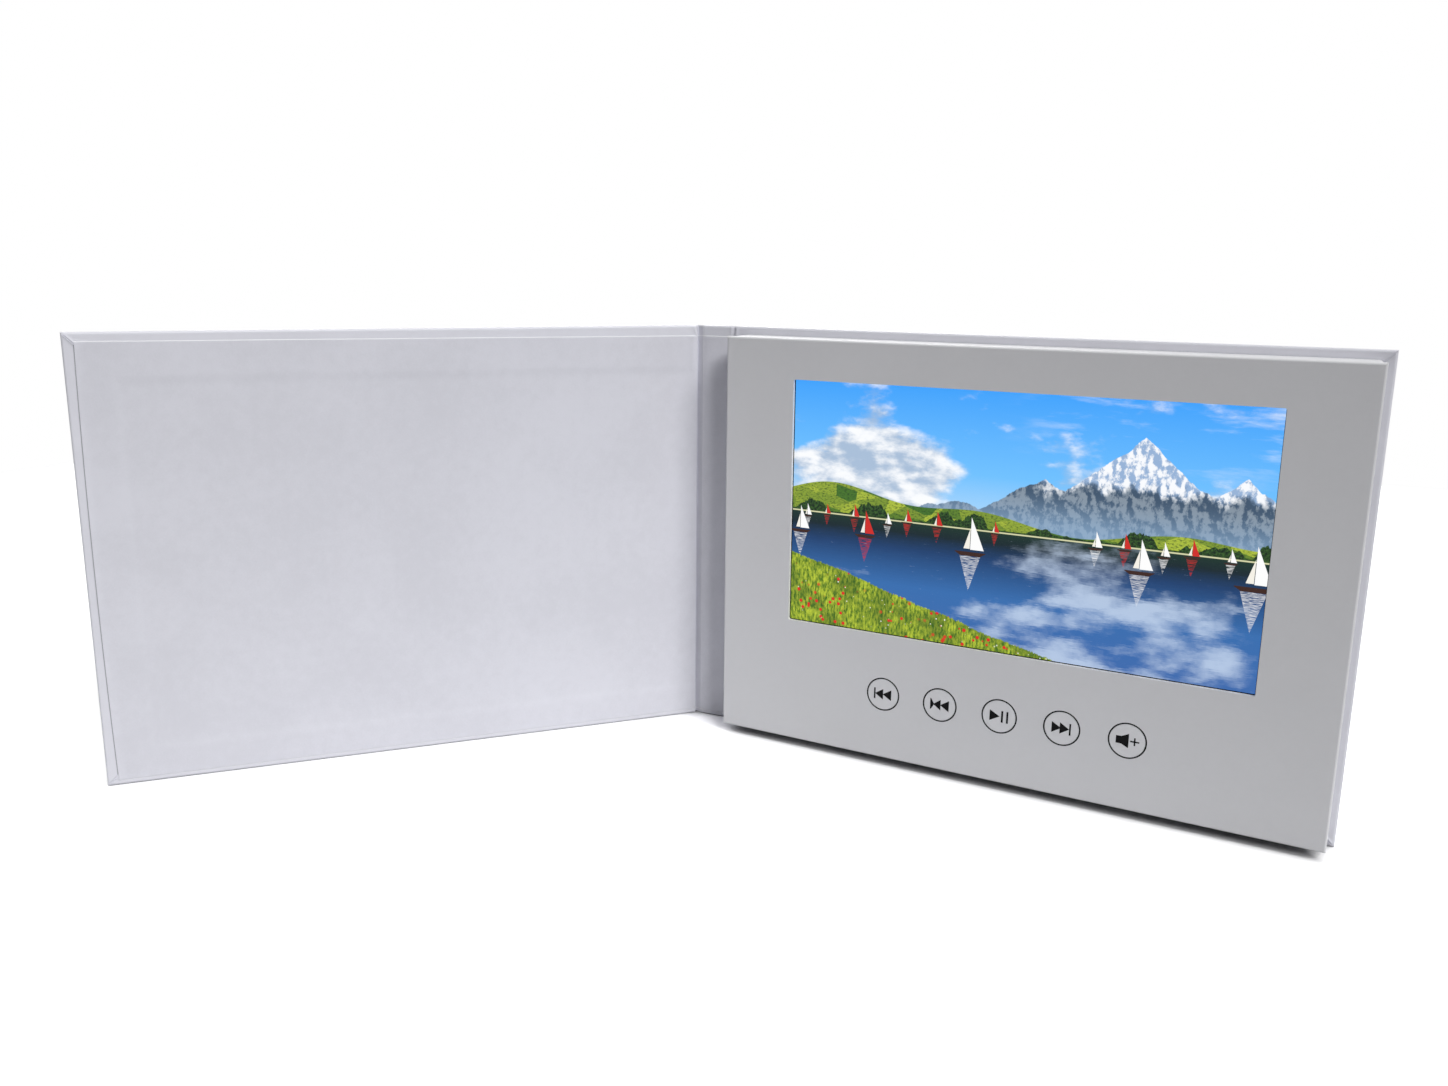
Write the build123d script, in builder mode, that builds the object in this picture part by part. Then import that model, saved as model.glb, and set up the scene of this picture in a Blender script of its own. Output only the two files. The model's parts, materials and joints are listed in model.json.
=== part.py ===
from build123d import *
from math import cos, radians
import os

# A case-bound video brochure that stands open on its lower edges, in millimetres.
# +X runs along the back cover from the spine to the fore edge, the screen faces -Y and +Z is up.
# The origin is the middle of the back cover's foot: half its length, half its thickness, on the ground.

os.makedirs("parts", exist_ok=True)

# ---------------------------------------------------------------- driving dimensions
# papers and boards
paper = 0.25                    # printed wrapping paper
liner_paper = 0.2               # endpaper inside the covers
board_thickness = 2.0           # greyboard of covers and spine
cover_edge_radius = 0.7         # rounding of the wrapped cover edges

# how the wrap is folded over the boards
turn_in_top = 16.0
turn_in_bottom = 12.0
turn_in_fore = 14.5
liner_margin_top = 3.7          # turn-in left showing round the endpaper
liner_margin_bottom = 1.5
liner_margin_fore = 3.6
liner_sink = 0.15               # how far the endpaper sinks between the turn-ins
mitre_width = 0.35              # cut where two turn-ins meet at a corner
mitre_depth = 0.15

# hinges
gutter = 2.2                    # flexible strip between two boards
gutter_sink = 0.25              # the strip lies this far below the endpaper's face
gutter_strip = 0.45             # wrap and endpaper glued together
gutter_relief = 0.3             # the strip stops short of the covers' ends
closed_gap = 1.0                # air between the module and the closed front cover
spine_angle = 176.6             # inner angle between back cover and spine, as it stands
front_angle = 133.5             # inner angle between spine and front cover, as it stands

# display
active_width = 154.1
active_height = 85.9
display_border = 5.5            # glass beside the picture, left and right
display_border_top = 5.0
display_border_bottom = 9.0     # the driver chips sit here
glass_thickness = 1.2
backlight_thickness = 2.7
backlight_sheet = 0.3           # steel of the backlight's pan
guide_edge = 1.0                # light guide to pan wall

# face of the module, round the window
margin_left = 26.4
margin_right = 23.5
margin_top = 13.8
margin_bottom = 44.8
window_recess = 1.0             # face to glass
face_thickness = 2.4
face_edge_radius = 0.7
window_corner_radius = 0.6

# module on the back cover
square_spine = 3.0              # cover showing round the module
square_fore = 2.0
square_top = 2.8
square_bottom = 3.0
tray_inset = 0.95               # the tray is narrower than the face panel, each side
tray_proud = 0.05               # and a little taller, above and below
tray_edge_radius = 0.18         # its paper is rounded where it meets the face panel
tray_board = 1.75
tray_corner_radius = 1.8
tray_inner_radius = 0.3         # the wall is folded sharper inside
back_card_thickness = 1.0
adhesive = 0.1
adhesive_margin = 3.0
fit_gap = 0.2                   # die-cut pocket round each component

# buttons
button_count = 5
button_pitch = 20.5
first_button = 63.5             # module's left edge to the first button
button_below_window = 21.4      # window's lower edge to the buttons
button_radius = 5.45
button_gap = 0.1
button_thickness = 1.0
stem_radius = 1.6
stem_gap = 0.1
stem_reach = 0.8                # length of stem inside the switch
button_travel = 0.25
switch_size = 6.0
switch_body = 1.7
button_board_thickness = 1.0
button_board_height = 9.0
button_board_end = 9.0          # board beyond the first and last button

# electronics
flex = 0.2                      # thickness of ribbon cables
display_flex_width = 30.0
display_flex_at = 36.0          # main board's left edge to the middle of the display's ribbon
button_cable_width = 8.0
button_cable_at = 9.0           # main board's left edge to the middle of the buttons' ribbon
cable_overlap = 5.0             # ribbon on a board
main_board_width = 70.0
main_board_height = 48.0
main_board_thickness = 1.2
main_board_above = 46.0         # window's lower edge to the main board's centre
board_to_wall = 0.5
chip_size = 13.0
chip_height = 1.4
memory_width = 12.0
memory_height = 8.0
memory_thickness = 1.0
memory_from_foot = 7.0          # main board's lower edge to the memory chip
wire_socket_width = 6.0
wire_socket_depth = 4.5
wire_socket_height = 2.4
usb_width = 7.6
usb_height = 2.9
usb_depth = 5.6
usb_shell = 0.35
usb_tongue = 0.8
usb_recess = 0.4
usb_hole_gap = 0.4
usb_below = 10.0                # main board's upper edge to the socket
reed_radius = 1.1
reed_length = 12.0
magnet_radius = 5.0
magnet_thickness = 1.2

battery_width = 82.0
battery_height = 54.0
battery_thickness = 5.4
battery_radius = 1.5
battery_clear = 0.3             # display to battery
battery_to_board = 14.7
battery_above = 46.0            # window's lower edge to the battery's centre
battery_socket_below = 14.0     # main board's upper edge to the battery's socket
tape_width = 8.0
tape_thickness = 0.1
wire_radius = 0.55
wire_pitch = 2.2

speaker_size = 36.0
speaker_thickness = 5.0
speaker_corner_radius = 4.0
speaker_rim = 2.0
speaker_cone_radius = 14.0
speaker_cone_rise = 1.4
speaker_cone_wall = 0.5
speaker_magnet_radius = 8.0
speaker_from_spine = 28.0       # module's left edge to the speaker's centre
speaker_above = 25.0            # module's lower edge to the speaker's centre
speaker_wire_bend = 6.0

# ---------------------------------------------------------------- derived sizes and places
window_width = active_width
window_height = active_height
module_width = margin_left + window_width + margin_right
module_height = margin_bottom + window_height + margin_top
cover_length = square_spine + module_width + square_fore
cover_height = square_bottom + module_height + square_top
wrapped_thickness = board_thickness + 2 * paper

# depths are measured from the module's face towards the back cover
glass_depth = window_recess
backlight_depth = glass_depth + glass_thickness
display_back = backlight_depth + backlight_thickness
layer_depth = display_back + fit_gap            # front of everything behind the display
main_board_depth = layer_depth + flex
main_board_back = main_board_depth + main_board_thickness
battery_depth = layer_depth + battery_clear
tallest_part = max(chip_height, memory_thickness, wire_socket_height, usb_height, 2 * reed_radius)
cavity_back = max(
    battery_depth + battery_thickness,
    main_board_back + tallest_part,
    layer_depth + flex + speaker_thickness,
) + 2 * fit_gap + tape_thickness
tray_back = cavity_back + back_card_thickness
module_thickness = tray_back + adhesive

hinge_spacing = module_thickness + closed_gap
spine_width = hinge_spacing - gutter

cover_plane_y = -(liner_paper + wrapped_thickness / 2)   # the endpaper's face, where the hinges turn
face_y = cover_plane_y - module_thickness

module_left = square_spine - cover_length / 2
module_right = module_left + module_width
module_x = (module_left + module_right) / 2
module_z = square_bottom + module_height / 2
window_x = module_left + margin_left + window_width / 2
window_z = square_bottom + margin_bottom + window_height / 2

# each panel is drawn as if the case lay open flat, with its own hinge at zero,
# and its plane turns it to where it stands
back_hinge = Vector(-cover_length / 2 - gutter / 2, cover_plane_y)
back_plane = Plane(origin=back_hinge, x_dir=(1, 0, 0), z_dir=(0, 0, 1))
spine_plane = back_plane.rotated((0, 0, 180 - spine_angle))
front_hinge = spine_plane.from_local_coords(Vector(-hinge_spacing, 0, 0))
front_plane = Plane(origin=front_hinge, x_dir=spine_plane.x_dir, z_dir=(0, 0, 1))
front_plane = front_plane.rotated((0, 0, 180 - front_angle))

# middle of each panel along its plane's x axis, as it lies open
back_middle = gutter / 2 + cover_length / 2
front_middle = -back_middle
spine_middle = -hinge_spacing / 2


def inner_face(plane):
    """The plane of a panel's endpaper, seen from inside: x along the panel, y up, z towards the reader."""
    return Plane(origin=plane.origin, x_dir=plane.x_dir, z_dir=-plane.y_dir)


def at_depth(depth):
    """A plane across the module, this far behind its face: x along the cover and y up."""
    return Plane.XZ.offset(-(face_y + depth))


def write(part, name):
    part.label = name
    export_step(part, f"parts/{name}.step")


# ---------------------------------------------------------------- covers and spine
def long_edges(panel):
    """Every edge of a panel but the short ones across its thickness."""
    return panel.edges().filter_by(lambda edge: edge.length > 2 * wrapped_thickness)


def bare_area(middle, length, turn_in, side):
    """The area between the turn-ins, drawn into the sketch that is being built."""
    bare_height = cover_height - turn_in_top - turn_in_bottom
    with Locations((middle - side * turn_in / 2, turn_in_bottom + bare_height / 2)):
        Rectangle(length - turn_in, bare_height)


def greyboard(plane, middle, length):
    """The stiff board of one panel, a paper's thickness inside the wrap."""
    with BuildPart() as board:
        with BuildSketch(plane.offset(paper)):
            with Locations((middle, liner_paper + wrapped_thickness / 2)):
                Rectangle(length - 2 * paper, board_thickness)
        extrude(amount=cover_height - 2 * paper)
        fillet(long_edges(board), cover_edge_radius - paper)
    return board.part


def wrap(plane, middle, length, board, turn_in, side):
    """Printed paper round one panel, folded over the ends and, on a cover, over the fore edge."""
    turned_face = inner_face(plane).offset(-liner_paper)
    with BuildPart() as skin:
        with BuildSketch(plane):
            with Locations((middle, liner_paper + wrapped_thickness / 2)):
                Rectangle(length, wrapped_thickness)
        extrude(amount=cover_height)
        fillet(long_edges(skin), cover_edge_radius)
        add(board, mode=Mode.SUBTRACT)
        with BuildSketch(turned_face):
            bare_area(middle, length, turn_in, side)
        extrude(amount=-paper, mode=Mode.SUBTRACT)
        if turn_in:
            fore_edge = middle + side * length / 2
            with BuildSketch(turned_face):
                for corner, angle in (((fore_edge, cover_height), 45), ((fore_edge, 0), -45)):
                    with Locations(Location(corner, side * angle)):
                        Rectangle(2 * (liner_margin_fore + liner_margin_top), mitre_width)
            extrude(amount=-mitre_depth, mode=Mode.SUBTRACT)
    return skin.part


def endpaper(plane, middle, length, margin, turn_in, side, sink):
    """The sheet glued inside one panel; between the turn-ins it reaches down to the board."""
    sheet_height = cover_height - liner_margin_top - liner_margin_bottom
    with BuildPart() as sheet:
        with BuildSketch(inner_face(plane)):
            with Locations((middle - side * margin / 2, liner_margin_bottom + sheet_height / 2)):
                Rectangle(length - margin, sheet_height)
        extrude(amount=-liner_paper)
        with BuildSketch(inner_face(plane).offset(-liner_paper)):
            bare_area(middle, length, turn_in, side)
        extrude(amount=-paper)
        if sink:
            with BuildSketch(inner_face(plane)):
                bare_area(middle, length, turn_in, side)
            extrude(amount=-sink, mode=Mode.SUBTRACT)
    return sheet.part


def flexible_strip(left_plane, left_end, right_plane, right_end, hinge):
    """The flexible strip from one board's edge round the hinge to the next board's edge."""
    bisector = (left_plane.y_dir + right_plane.y_dir).normalized()
    half_turn = left_plane.y_dir.get_angle(right_plane.y_dir) / 2
    corners = []
    for depth in (gutter_sink, gutter_sink + gutter_strip):
        corners.append([
            left_plane.from_local_coords(Vector(left_end, depth, 0)),
            hinge + bisector * (depth / cos(radians(half_turn))),
            right_plane.from_local_coords(Vector(right_end, depth, 0)),
        ])
    outline = corners[0] + corners[1][::-1]
    with BuildPart() as strip:
        with BuildSketch(Plane.XY.offset(gutter_relief)):
            with BuildLine():
                Polyline(*[(point.X, point.Y) for point in outline], close=True)
            make_face()
        extrude(amount=cover_height - 2 * gutter_relief)
    return strip.part


# the magnet in the front cover lies over the reed switch when the case is closed
main_board_x = module_right - tray_inset - paper - tray_board - board_to_wall - main_board_width / 2
main_board_z = square_bottom + margin_bottom + main_board_above
reed_x = main_board_x + main_board_width / 2 - 2 * reed_radius - fit_gap
reed_z = main_board_z - main_board_height / 4
magnet_at = (back_hinge.X - reed_x, reed_z)

back_board = greyboard(back_plane, back_middle, cover_length)
write(back_board, "back_board")
back_cover_wrap = wrap(back_plane, back_middle, cover_length, back_board, turn_in=turn_in_fore, side=1)
write(back_cover_wrap, "back_cover_wrap")
back_endpaper = endpaper(
    back_plane, back_middle, cover_length, margin=liner_margin_fore, turn_in=turn_in_fore, side=1, sink=0,
)
write(back_endpaper, "back_endpaper")

spine_board = greyboard(spine_plane, spine_middle, spine_width)
write(spine_board, "spine_board")
spine_wrap = wrap(spine_plane, spine_middle, spine_width, spine_board, turn_in=0, side=1)
write(spine_wrap, "spine_wrap")
spine_liner = endpaper(spine_plane, spine_middle, spine_width, margin=0, turn_in=0, side=1, sink=0)
write(spine_liner, "spine_liner")

plain_front_board = greyboard(front_plane, front_middle, cover_length)
front_cover_wrap = wrap(
    front_plane, front_middle, cover_length, plain_front_board, turn_in=turn_in_fore, side=-1,
)
write(front_cover_wrap, "front_cover_wrap")
front_endpaper = endpaper(
    front_plane, front_middle, cover_length,
    margin=liner_margin_fore, turn_in=turn_in_fore, side=-1, sink=liner_sink,
)
write(front_endpaper, "front_endpaper")

with BuildPart() as closure_magnet:
    with BuildSketch(inner_face(front_plane).offset(-(liner_paper + paper))):
        with Locations(magnet_at):
            Circle(magnet_radius)
    extrude(amount=-magnet_thickness)
write(closure_magnet.part, "closure_magnet")

with BuildPart() as front_board:
    add(plain_front_board)
    add(closure_magnet.part, mode=Mode.SUBTRACT)
write(front_board.part, "front_board")

back_gutter = flexible_strip(spine_plane, -gutter / 2, back_plane, gutter / 2, back_hinge)
write(back_gutter, "back_gutter")
front_gutter = flexible_strip(front_plane, -gutter / 2, spine_plane, gutter / 2 - hinge_spacing, front_hinge)
write(front_gutter, "front_gutter")


# ---------------------------------------------------------------- the module's outlines
display_width = active_width + 2 * display_border
display_height = active_height + display_border_top + display_border_bottom
display_x = window_x
display_z = window_z + (display_border_top - display_border_bottom) / 2
display_foot = display_z - display_height / 2

tray_width = module_width - 2 * tray_inset
tray_height = module_height + 2 * tray_proud
card_width = tray_width - 2 * paper
card_height = tray_height - 2 * paper
card_radius = tray_corner_radius - paper
inner_width = card_width - 2 * tray_board
inner_height = card_height - 2 * tray_board

window_foot = window_z - window_height / 2
button_z = window_foot - button_below_window
button_xs = [module_left + first_button + index * button_pitch for index in range(button_count)]

board_left = main_board_x - main_board_width / 2
board_foot = main_board_z - main_board_height / 2
button_cable_x = board_left + button_cable_at
display_flex_x = board_left + display_flex_at

button_board_left = button_xs[0] - button_board_end
button_board_right = max(button_xs[-1], button_cable_x) + button_board_end
button_board_x = (button_board_left + button_board_right) / 2
button_board_width = button_board_right - button_board_left
button_board_depth = layer_depth - button_board_thickness
switch_depth = button_board_depth - switch_body
stem_length = switch_depth + stem_reach - button_thickness

battery_x = board_left - battery_to_board - battery_width / 2
battery_z = window_foot + battery_above
battery_socket_z = main_board_z + main_board_height / 2 - battery_socket_below
speaker_x = module_left + speaker_from_spine
speaker_z = square_bottom + speaker_above
speaker_depth = cavity_back - speaker_thickness
speaker_socket_x = board_left + main_board_width / 4

usb_mouth_x = module_right - tray_inset - usb_recess
usb_z = main_board_z + main_board_height / 2 - usb_below
usb_middle_depth = main_board_back + usb_height / 2
wire_depth = main_board_back + wire_socket_height / 2


def slab(depth, x, z, width, height, thickness, radius=0.0):
    """A flat piece inside the module, its front this far behind the face."""
    with BuildPart() as piece:
        with BuildSketch(at_depth(depth)):
            with Locations((x, z)):
                if radius:
                    RectangleRounded(width, height, radius)
                else:
                    Rectangle(width, height)
        extrude(amount=-thickness)
    return piece.part


# ---------------------------------------------------------------- face panel and tray
def face_block(inset, edge_radius):
    """The face panel's outer form, drawn in by an inset on every side but its back."""
    with BuildPart() as block:
        with BuildSketch(at_depth(inset)):
            with Locations((module_x, module_z)):
                Rectangle(module_width - 2 * inset, module_height - 2 * inset)
        extrude(amount=inset - face_thickness)
        fillet(block.faces().sort_by(Axis.Y)[0].edges(), edge_radius)
    return block.part


with BuildPart() as face_openings:
    with BuildSketch(at_depth(-paper)):
        with Locations((window_x, window_z)):
            RectangleRounded(window_width, window_height, window_corner_radius)
        with Locations(*[(x, button_z) for x in button_xs]):
            Circle(button_radius + button_gap)
    extrude(amount=-(face_thickness + 2 * paper))

plain_face_card = face_block(paper, face_edge_radius - paper)

with BuildPart() as face_card:
    add(plain_face_card)
    add(face_openings.part, mode=Mode.SUBTRACT)
    # rebate that holds the display's glass, with room for its ribbon at the foot
    with BuildSketch(at_depth(glass_depth)):
        with Locations((display_x, display_z - flex / 2)):
            Rectangle(display_width + 2 * fit_gap, display_height + 2 * fit_gap + flex)
    extrude(amount=-face_thickness, mode=Mode.SUBTRACT)
write(face_card.part, "face_card")

with BuildPart() as face_paper:
    add(face_block(0, face_edge_radius))
    add(plain_face_card, mode=Mode.SUBTRACT)
    add(face_openings.part, mode=Mode.SUBTRACT)
write(face_paper.part, "face_paper")

with BuildPart() as usb_hole:
    with BuildSketch(Plane.YZ.offset(module_right - tray_inset + paper)):
        with Locations((face_y + usb_middle_depth, usb_z)):
            RectangleRounded(usb_height + 2 * usb_hole_gap, usb_width + 2 * usb_hole_gap, usb_hole_gap)
    extrude(amount=-(tray_board + 3 * paper))

with BuildPart() as tray_wall:
    with BuildSketch(at_depth(face_thickness)):
        with Locations((module_x, module_z)):
            RectangleRounded(card_width, card_height, card_radius)
            RectangleRounded(inner_width, inner_height, tray_inner_radius, mode=Mode.SUBTRACT)
    extrude(amount=face_thickness - cavity_back)
    add(usb_hole.part, mode=Mode.SUBTRACT)
write(tray_wall.part, "tray_wall")

with BuildPart() as tray_paper:
    with BuildSketch(at_depth(face_thickness)):
        with Locations((module_x, module_z)):
            RectangleRounded(tray_width, tray_height, tray_corner_radius)
    extrude(amount=face_thickness - tray_back)
    fillet(tray_paper.faces().sort_by(Axis.Y)[0].edges(), tray_edge_radius)
    with BuildSketch(at_depth(face_thickness)):
        with Locations((module_x, module_z)):
            RectangleRounded(card_width, card_height, card_radius)
    extrude(amount=face_thickness - tray_back, mode=Mode.SUBTRACT)
    add(usb_hole.part, mode=Mode.SUBTRACT)
write(tray_paper.part, "tray_paper")

back_card = slab(cavity_back, module_x, module_z, card_width, card_height, back_card_thickness, card_radius)
write(back_card, "back_card")

glued_width = tray_width - 2 * adhesive_margin
glued_height = tray_height - 2 * adhesive_margin
module_adhesive = slab(tray_back, module_x, module_z, glued_width, glued_height, adhesive)
write(module_adhesive, "module_adhesive")

# ---------------------------------------------------------------- display
display_glass = slab(glass_depth, display_x, display_z, display_width, display_height, glass_thickness)
write(display_glass, "display_glass")

with BuildPart() as backlight_pan:
    add(slab(backlight_depth, display_x, display_z, display_width, display_height, backlight_thickness))
    with BuildSketch(at_depth(backlight_depth)):
        with Locations((display_x, display_z)):
            Rectangle(display_width - 2 * guide_edge, display_height - 2 * guide_edge)
    extrude(amount=backlight_sheet - backlight_thickness, mode=Mode.SUBTRACT)
write(backlight_pan.part, "backlight_pan")

light_guide = slab(
    backlight_depth, display_x, display_z, display_width - 2 * guide_edge, display_height - 2 * guide_edge,
    backlight_thickness - backlight_sheet,
)
write(light_guide, "light_guide")

with BuildPart() as display_tape:
    with BuildSketch(at_depth(display_back)):
        for tape_z in (display_foot + tape_width, display_foot + display_height - tape_width):
            with Locations((display_x, tape_z)):
                Rectangle(display_width - 2 * tape_width, tape_width)
    extrude(amount=-fit_gap)
write(display_tape.part, "display_tape")

# the ribbon leaves the glass at the foot and turns up behind the backlight to the main board
with BuildPart() as display_flex:
    with BuildSketch(at_depth(glass_depth + glass_thickness / 2)):
        with Locations((display_flex_x, display_foot - flex / 2)):
            Rectangle(display_flex_width, flex)
    extrude(amount=glass_depth + glass_thickness / 2 - layer_depth - flex)
    flex_top = board_foot + cable_overlap
    with BuildSketch(at_depth(layer_depth)):
        with Locations((display_flex_x, (flex_top + display_foot - flex) / 2)):
            Rectangle(display_flex_width, flex_top - display_foot + flex)
    extrude(amount=-flex)
write(display_flex.part, "display_flex")

# ---------------------------------------------------------------- boards
main_board = slab(
    main_board_depth, main_board_x, main_board_z,
    main_board_width, main_board_height, main_board_thickness, fit_gap,
)
write(main_board, "main_board")
processor_chip = slab(main_board_back, main_board_x, main_board_z, chip_size, chip_size, chip_height)
write(processor_chip, "processor_chip")
memory_z = board_foot + memory_from_foot + memory_height / 2
memory_chip = slab(main_board_back, main_board_x, memory_z, memory_width, memory_height, memory_thickness)
write(memory_chip, "memory_chip")

with BuildPart() as usb_socket:
    with BuildSketch(Plane.YZ.offset(usb_mouth_x)):
        with Locations((face_y + usb_middle_depth, usb_z)):
            Rectangle(usb_height, usb_width)
    extrude(amount=-usb_depth)
    with BuildSketch(Plane.YZ.offset(usb_mouth_x)):
        with Locations((face_y + usb_middle_depth, usb_z)):
            Rectangle(usb_height - 2 * usb_shell, usb_width - 2 * usb_shell)
            Rectangle(usb_tongue, usb_width - 4 * usb_shell, mode=Mode.SUBTRACT)
    extrude(amount=usb_shell - usb_depth, mode=Mode.SUBTRACT)
write(usb_socket.part, "usb_socket")

with BuildPart() as reed_switch:
    with BuildSketch(Plane.XY.offset(reed_z - reed_length / 2)):
        with Locations((reed_x, face_y + main_board_back + reed_radius)):
            Circle(reed_radius)
    extrude(amount=reed_length)
write(reed_switch.part, "reed_switch")

with BuildPart() as wire_sockets:
    with BuildSketch(at_depth(main_board_back)):
        with Locations((board_left + wire_socket_depth / 2, battery_socket_z)):
            Rectangle(wire_socket_depth, wire_socket_width)
        with Locations((speaker_socket_x, board_foot + wire_socket_depth / 2)):
            Rectangle(wire_socket_width, wire_socket_depth)
    extrude(amount=-wire_socket_height)
write(wire_sockets.part, "wire_sockets")

# ---------------------------------------------------------------- battery
with BuildPart() as battery:
    add(slab(battery_depth, battery_x, battery_z, battery_width, battery_height, battery_thickness))
    fillet(battery.edges().filter_by(Axis.Z), battery_radius)
write(battery.part, "battery")

tape_depth = battery_depth + battery_thickness
tape_length = battery_width - 2 * battery_radius
battery_tape = slab(tape_depth, battery_x, battery_z, tape_length, tape_width, cavity_back - tape_depth)
write(battery_tape, "battery_tape")

with BuildPart() as battery_wires:
    battery_side = battery_x + battery_width / 2
    with BuildSketch(Plane.YZ.offset(battery_side)):
        for side in (-1, 1):
            with Locations((face_y + wire_depth, battery_socket_z + side * wire_pitch / 2)):
                Circle(wire_radius)
    extrude(amount=board_left - battery_side)
write(battery_wires.part, "battery_wires")

# ---------------------------------------------------------------- speaker
with BuildPart() as speaker_frame:
    with BuildSketch(at_depth(speaker_depth)):
        with Locations((speaker_x, speaker_z)):
            RectangleRounded(speaker_size, speaker_size, speaker_corner_radius)
    extrude(amount=-speaker_thickness)
    with BuildSketch(at_depth(speaker_depth)):
        with Locations((speaker_x, speaker_z)):
            Circle(speaker_size / 2 - speaker_rim)
    extrude(amount=speaker_rim / 2 - speaker_thickness, mode=Mode.SUBTRACT)
write(speaker_frame.part, "speaker_frame")

speaker_floor = cavity_back - speaker_rim / 2
magnet_height = speaker_thickness - speaker_rim / 2 - speaker_cone_rise - speaker_cone_wall
with BuildPart() as speaker_magnet:
    with BuildSketch(at_depth(speaker_floor - magnet_height)):
        with Locations((speaker_x, speaker_z)):
            Circle(speaker_magnet_radius)
    extrude(amount=-magnet_height)
write(speaker_magnet.part, "speaker_magnet")

# a shallow cone that springs from the magnet and is glued to the frame's wall at its rim
with BuildPart() as speaker_cone:
    cone_foot = speaker_floor - magnet_height
    with BuildSketch(Plane(origin=(speaker_x, face_y, speaker_z), x_dir=(1, 0, 0), z_dir=(0, 0, 1))):
        with BuildLine():
            Polyline(
                (0, cone_foot - speaker_cone_wall),
                (speaker_magnet_radius, cone_foot - speaker_cone_wall),
                (speaker_cone_radius, cone_foot - speaker_cone_rise - speaker_cone_wall),
                (speaker_size / 2 - speaker_rim, cone_foot - speaker_cone_rise - speaker_cone_wall),
                (speaker_size / 2 - speaker_rim, cone_foot - speaker_cone_rise),
                (speaker_cone_radius, cone_foot - speaker_cone_rise),
                (speaker_magnet_radius, cone_foot),
                (0, cone_foot),
                close=True,
            )
        make_face()
    revolve(axis=Axis((speaker_x, face_y, speaker_z), (0, 1, 0)))
write(speaker_cone.part, "speaker_cone")

with BuildPart() as speaker_wires:
    for side in (-1, 1):
        start = (speaker_x + speaker_size / 2, speaker_z + side * wire_pitch / 2)
        corner = (speaker_socket_x - side * wire_pitch / 2, speaker_z + side * wire_pitch / 2)
        end = (speaker_socket_x - side * wire_pitch / 2, board_foot)
        with BuildLine(at_depth(wire_depth)) as route:
            FilletPolyline(start, corner, end, radius=speaker_wire_bend - side * wire_pitch / 2)
        with BuildSketch(Plane(origin=route.line @ 0, z_dir=route.line % 0)):
            Circle(wire_radius)
        sweep(path=route.line)
write(speaker_wires.part, "speaker_wires")

# ---------------------------------------------------------------- buttons
button_board = slab(
    button_board_depth, button_board_x, button_z,
    button_board_width, button_board_height, button_board_thickness,
)
write(button_board, "button_board")

# the buttons' ribbon lies flat from the back of their board to the front of the main board
cable_length = board_foot + cable_overlap - button_z
cable_middle = button_z + cable_length / 2
button_cable = slab(layer_depth, button_cable_x, cable_middle, button_cable_width, cable_length, flex)
write(button_cable, "button_cable")

with BuildPart() as tact_switches:
    with BuildSketch(at_depth(switch_depth)):
        with Locations(*[(x, button_z) for x in button_xs]):
            Rectangle(switch_size, switch_size)
    extrude(amount=-switch_body)
    with BuildSketch(at_depth(switch_depth)):
        with Locations(*[(x, button_z) for x in button_xs]):
            Circle(stem_radius + stem_gap)
    extrude(amount=-(stem_reach + button_travel + stem_gap), mode=Mode.SUBTRACT)
write(tact_switches.part, "tact_switches")

button_names = ["skip_back", "rewind", "play", "skip_forward", "volume"]
for name, x in zip(button_names, button_xs):
    with BuildPart() as cap:
        with BuildSketch(at_depth(0)):
            with Locations((x, button_z)):
                Circle(button_radius)
        extrude(amount=-button_thickness)
    write(cap.part, f"{name}_button")
    with BuildPart() as stem:
        with BuildSketch(at_depth(button_thickness)):
            with Locations((x, button_z)):
                Circle(stem_radius)
        extrude(amount=-stem_length)
    write(stem.part, f"{name}_stem")

# ---------------------------------------------------------------- die-cut spacers
def pocket(x, z, width, height):
    """A hole with a fitting gap all round, cut from the sketch that is being built."""
    with Locations((x, z)):
        Rectangle(width + 2 * fit_gap, height + 2 * fit_gap, mode=Mode.SUBTRACT)


with BuildPart() as display_spacer:
    with BuildSketch(at_depth(face_thickness)):
        with Locations((module_x, module_z)):
            RectangleRounded(inner_width, inner_height, tray_inner_radius)
        pocket(display_x, display_z - flex / 2, display_width, display_height + flex)
        pocket(button_board_x, button_z, button_board_width, button_board_height)
    extrude(amount=face_thickness - layer_depth)
write(display_spacer.part, "display_spacer")

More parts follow.
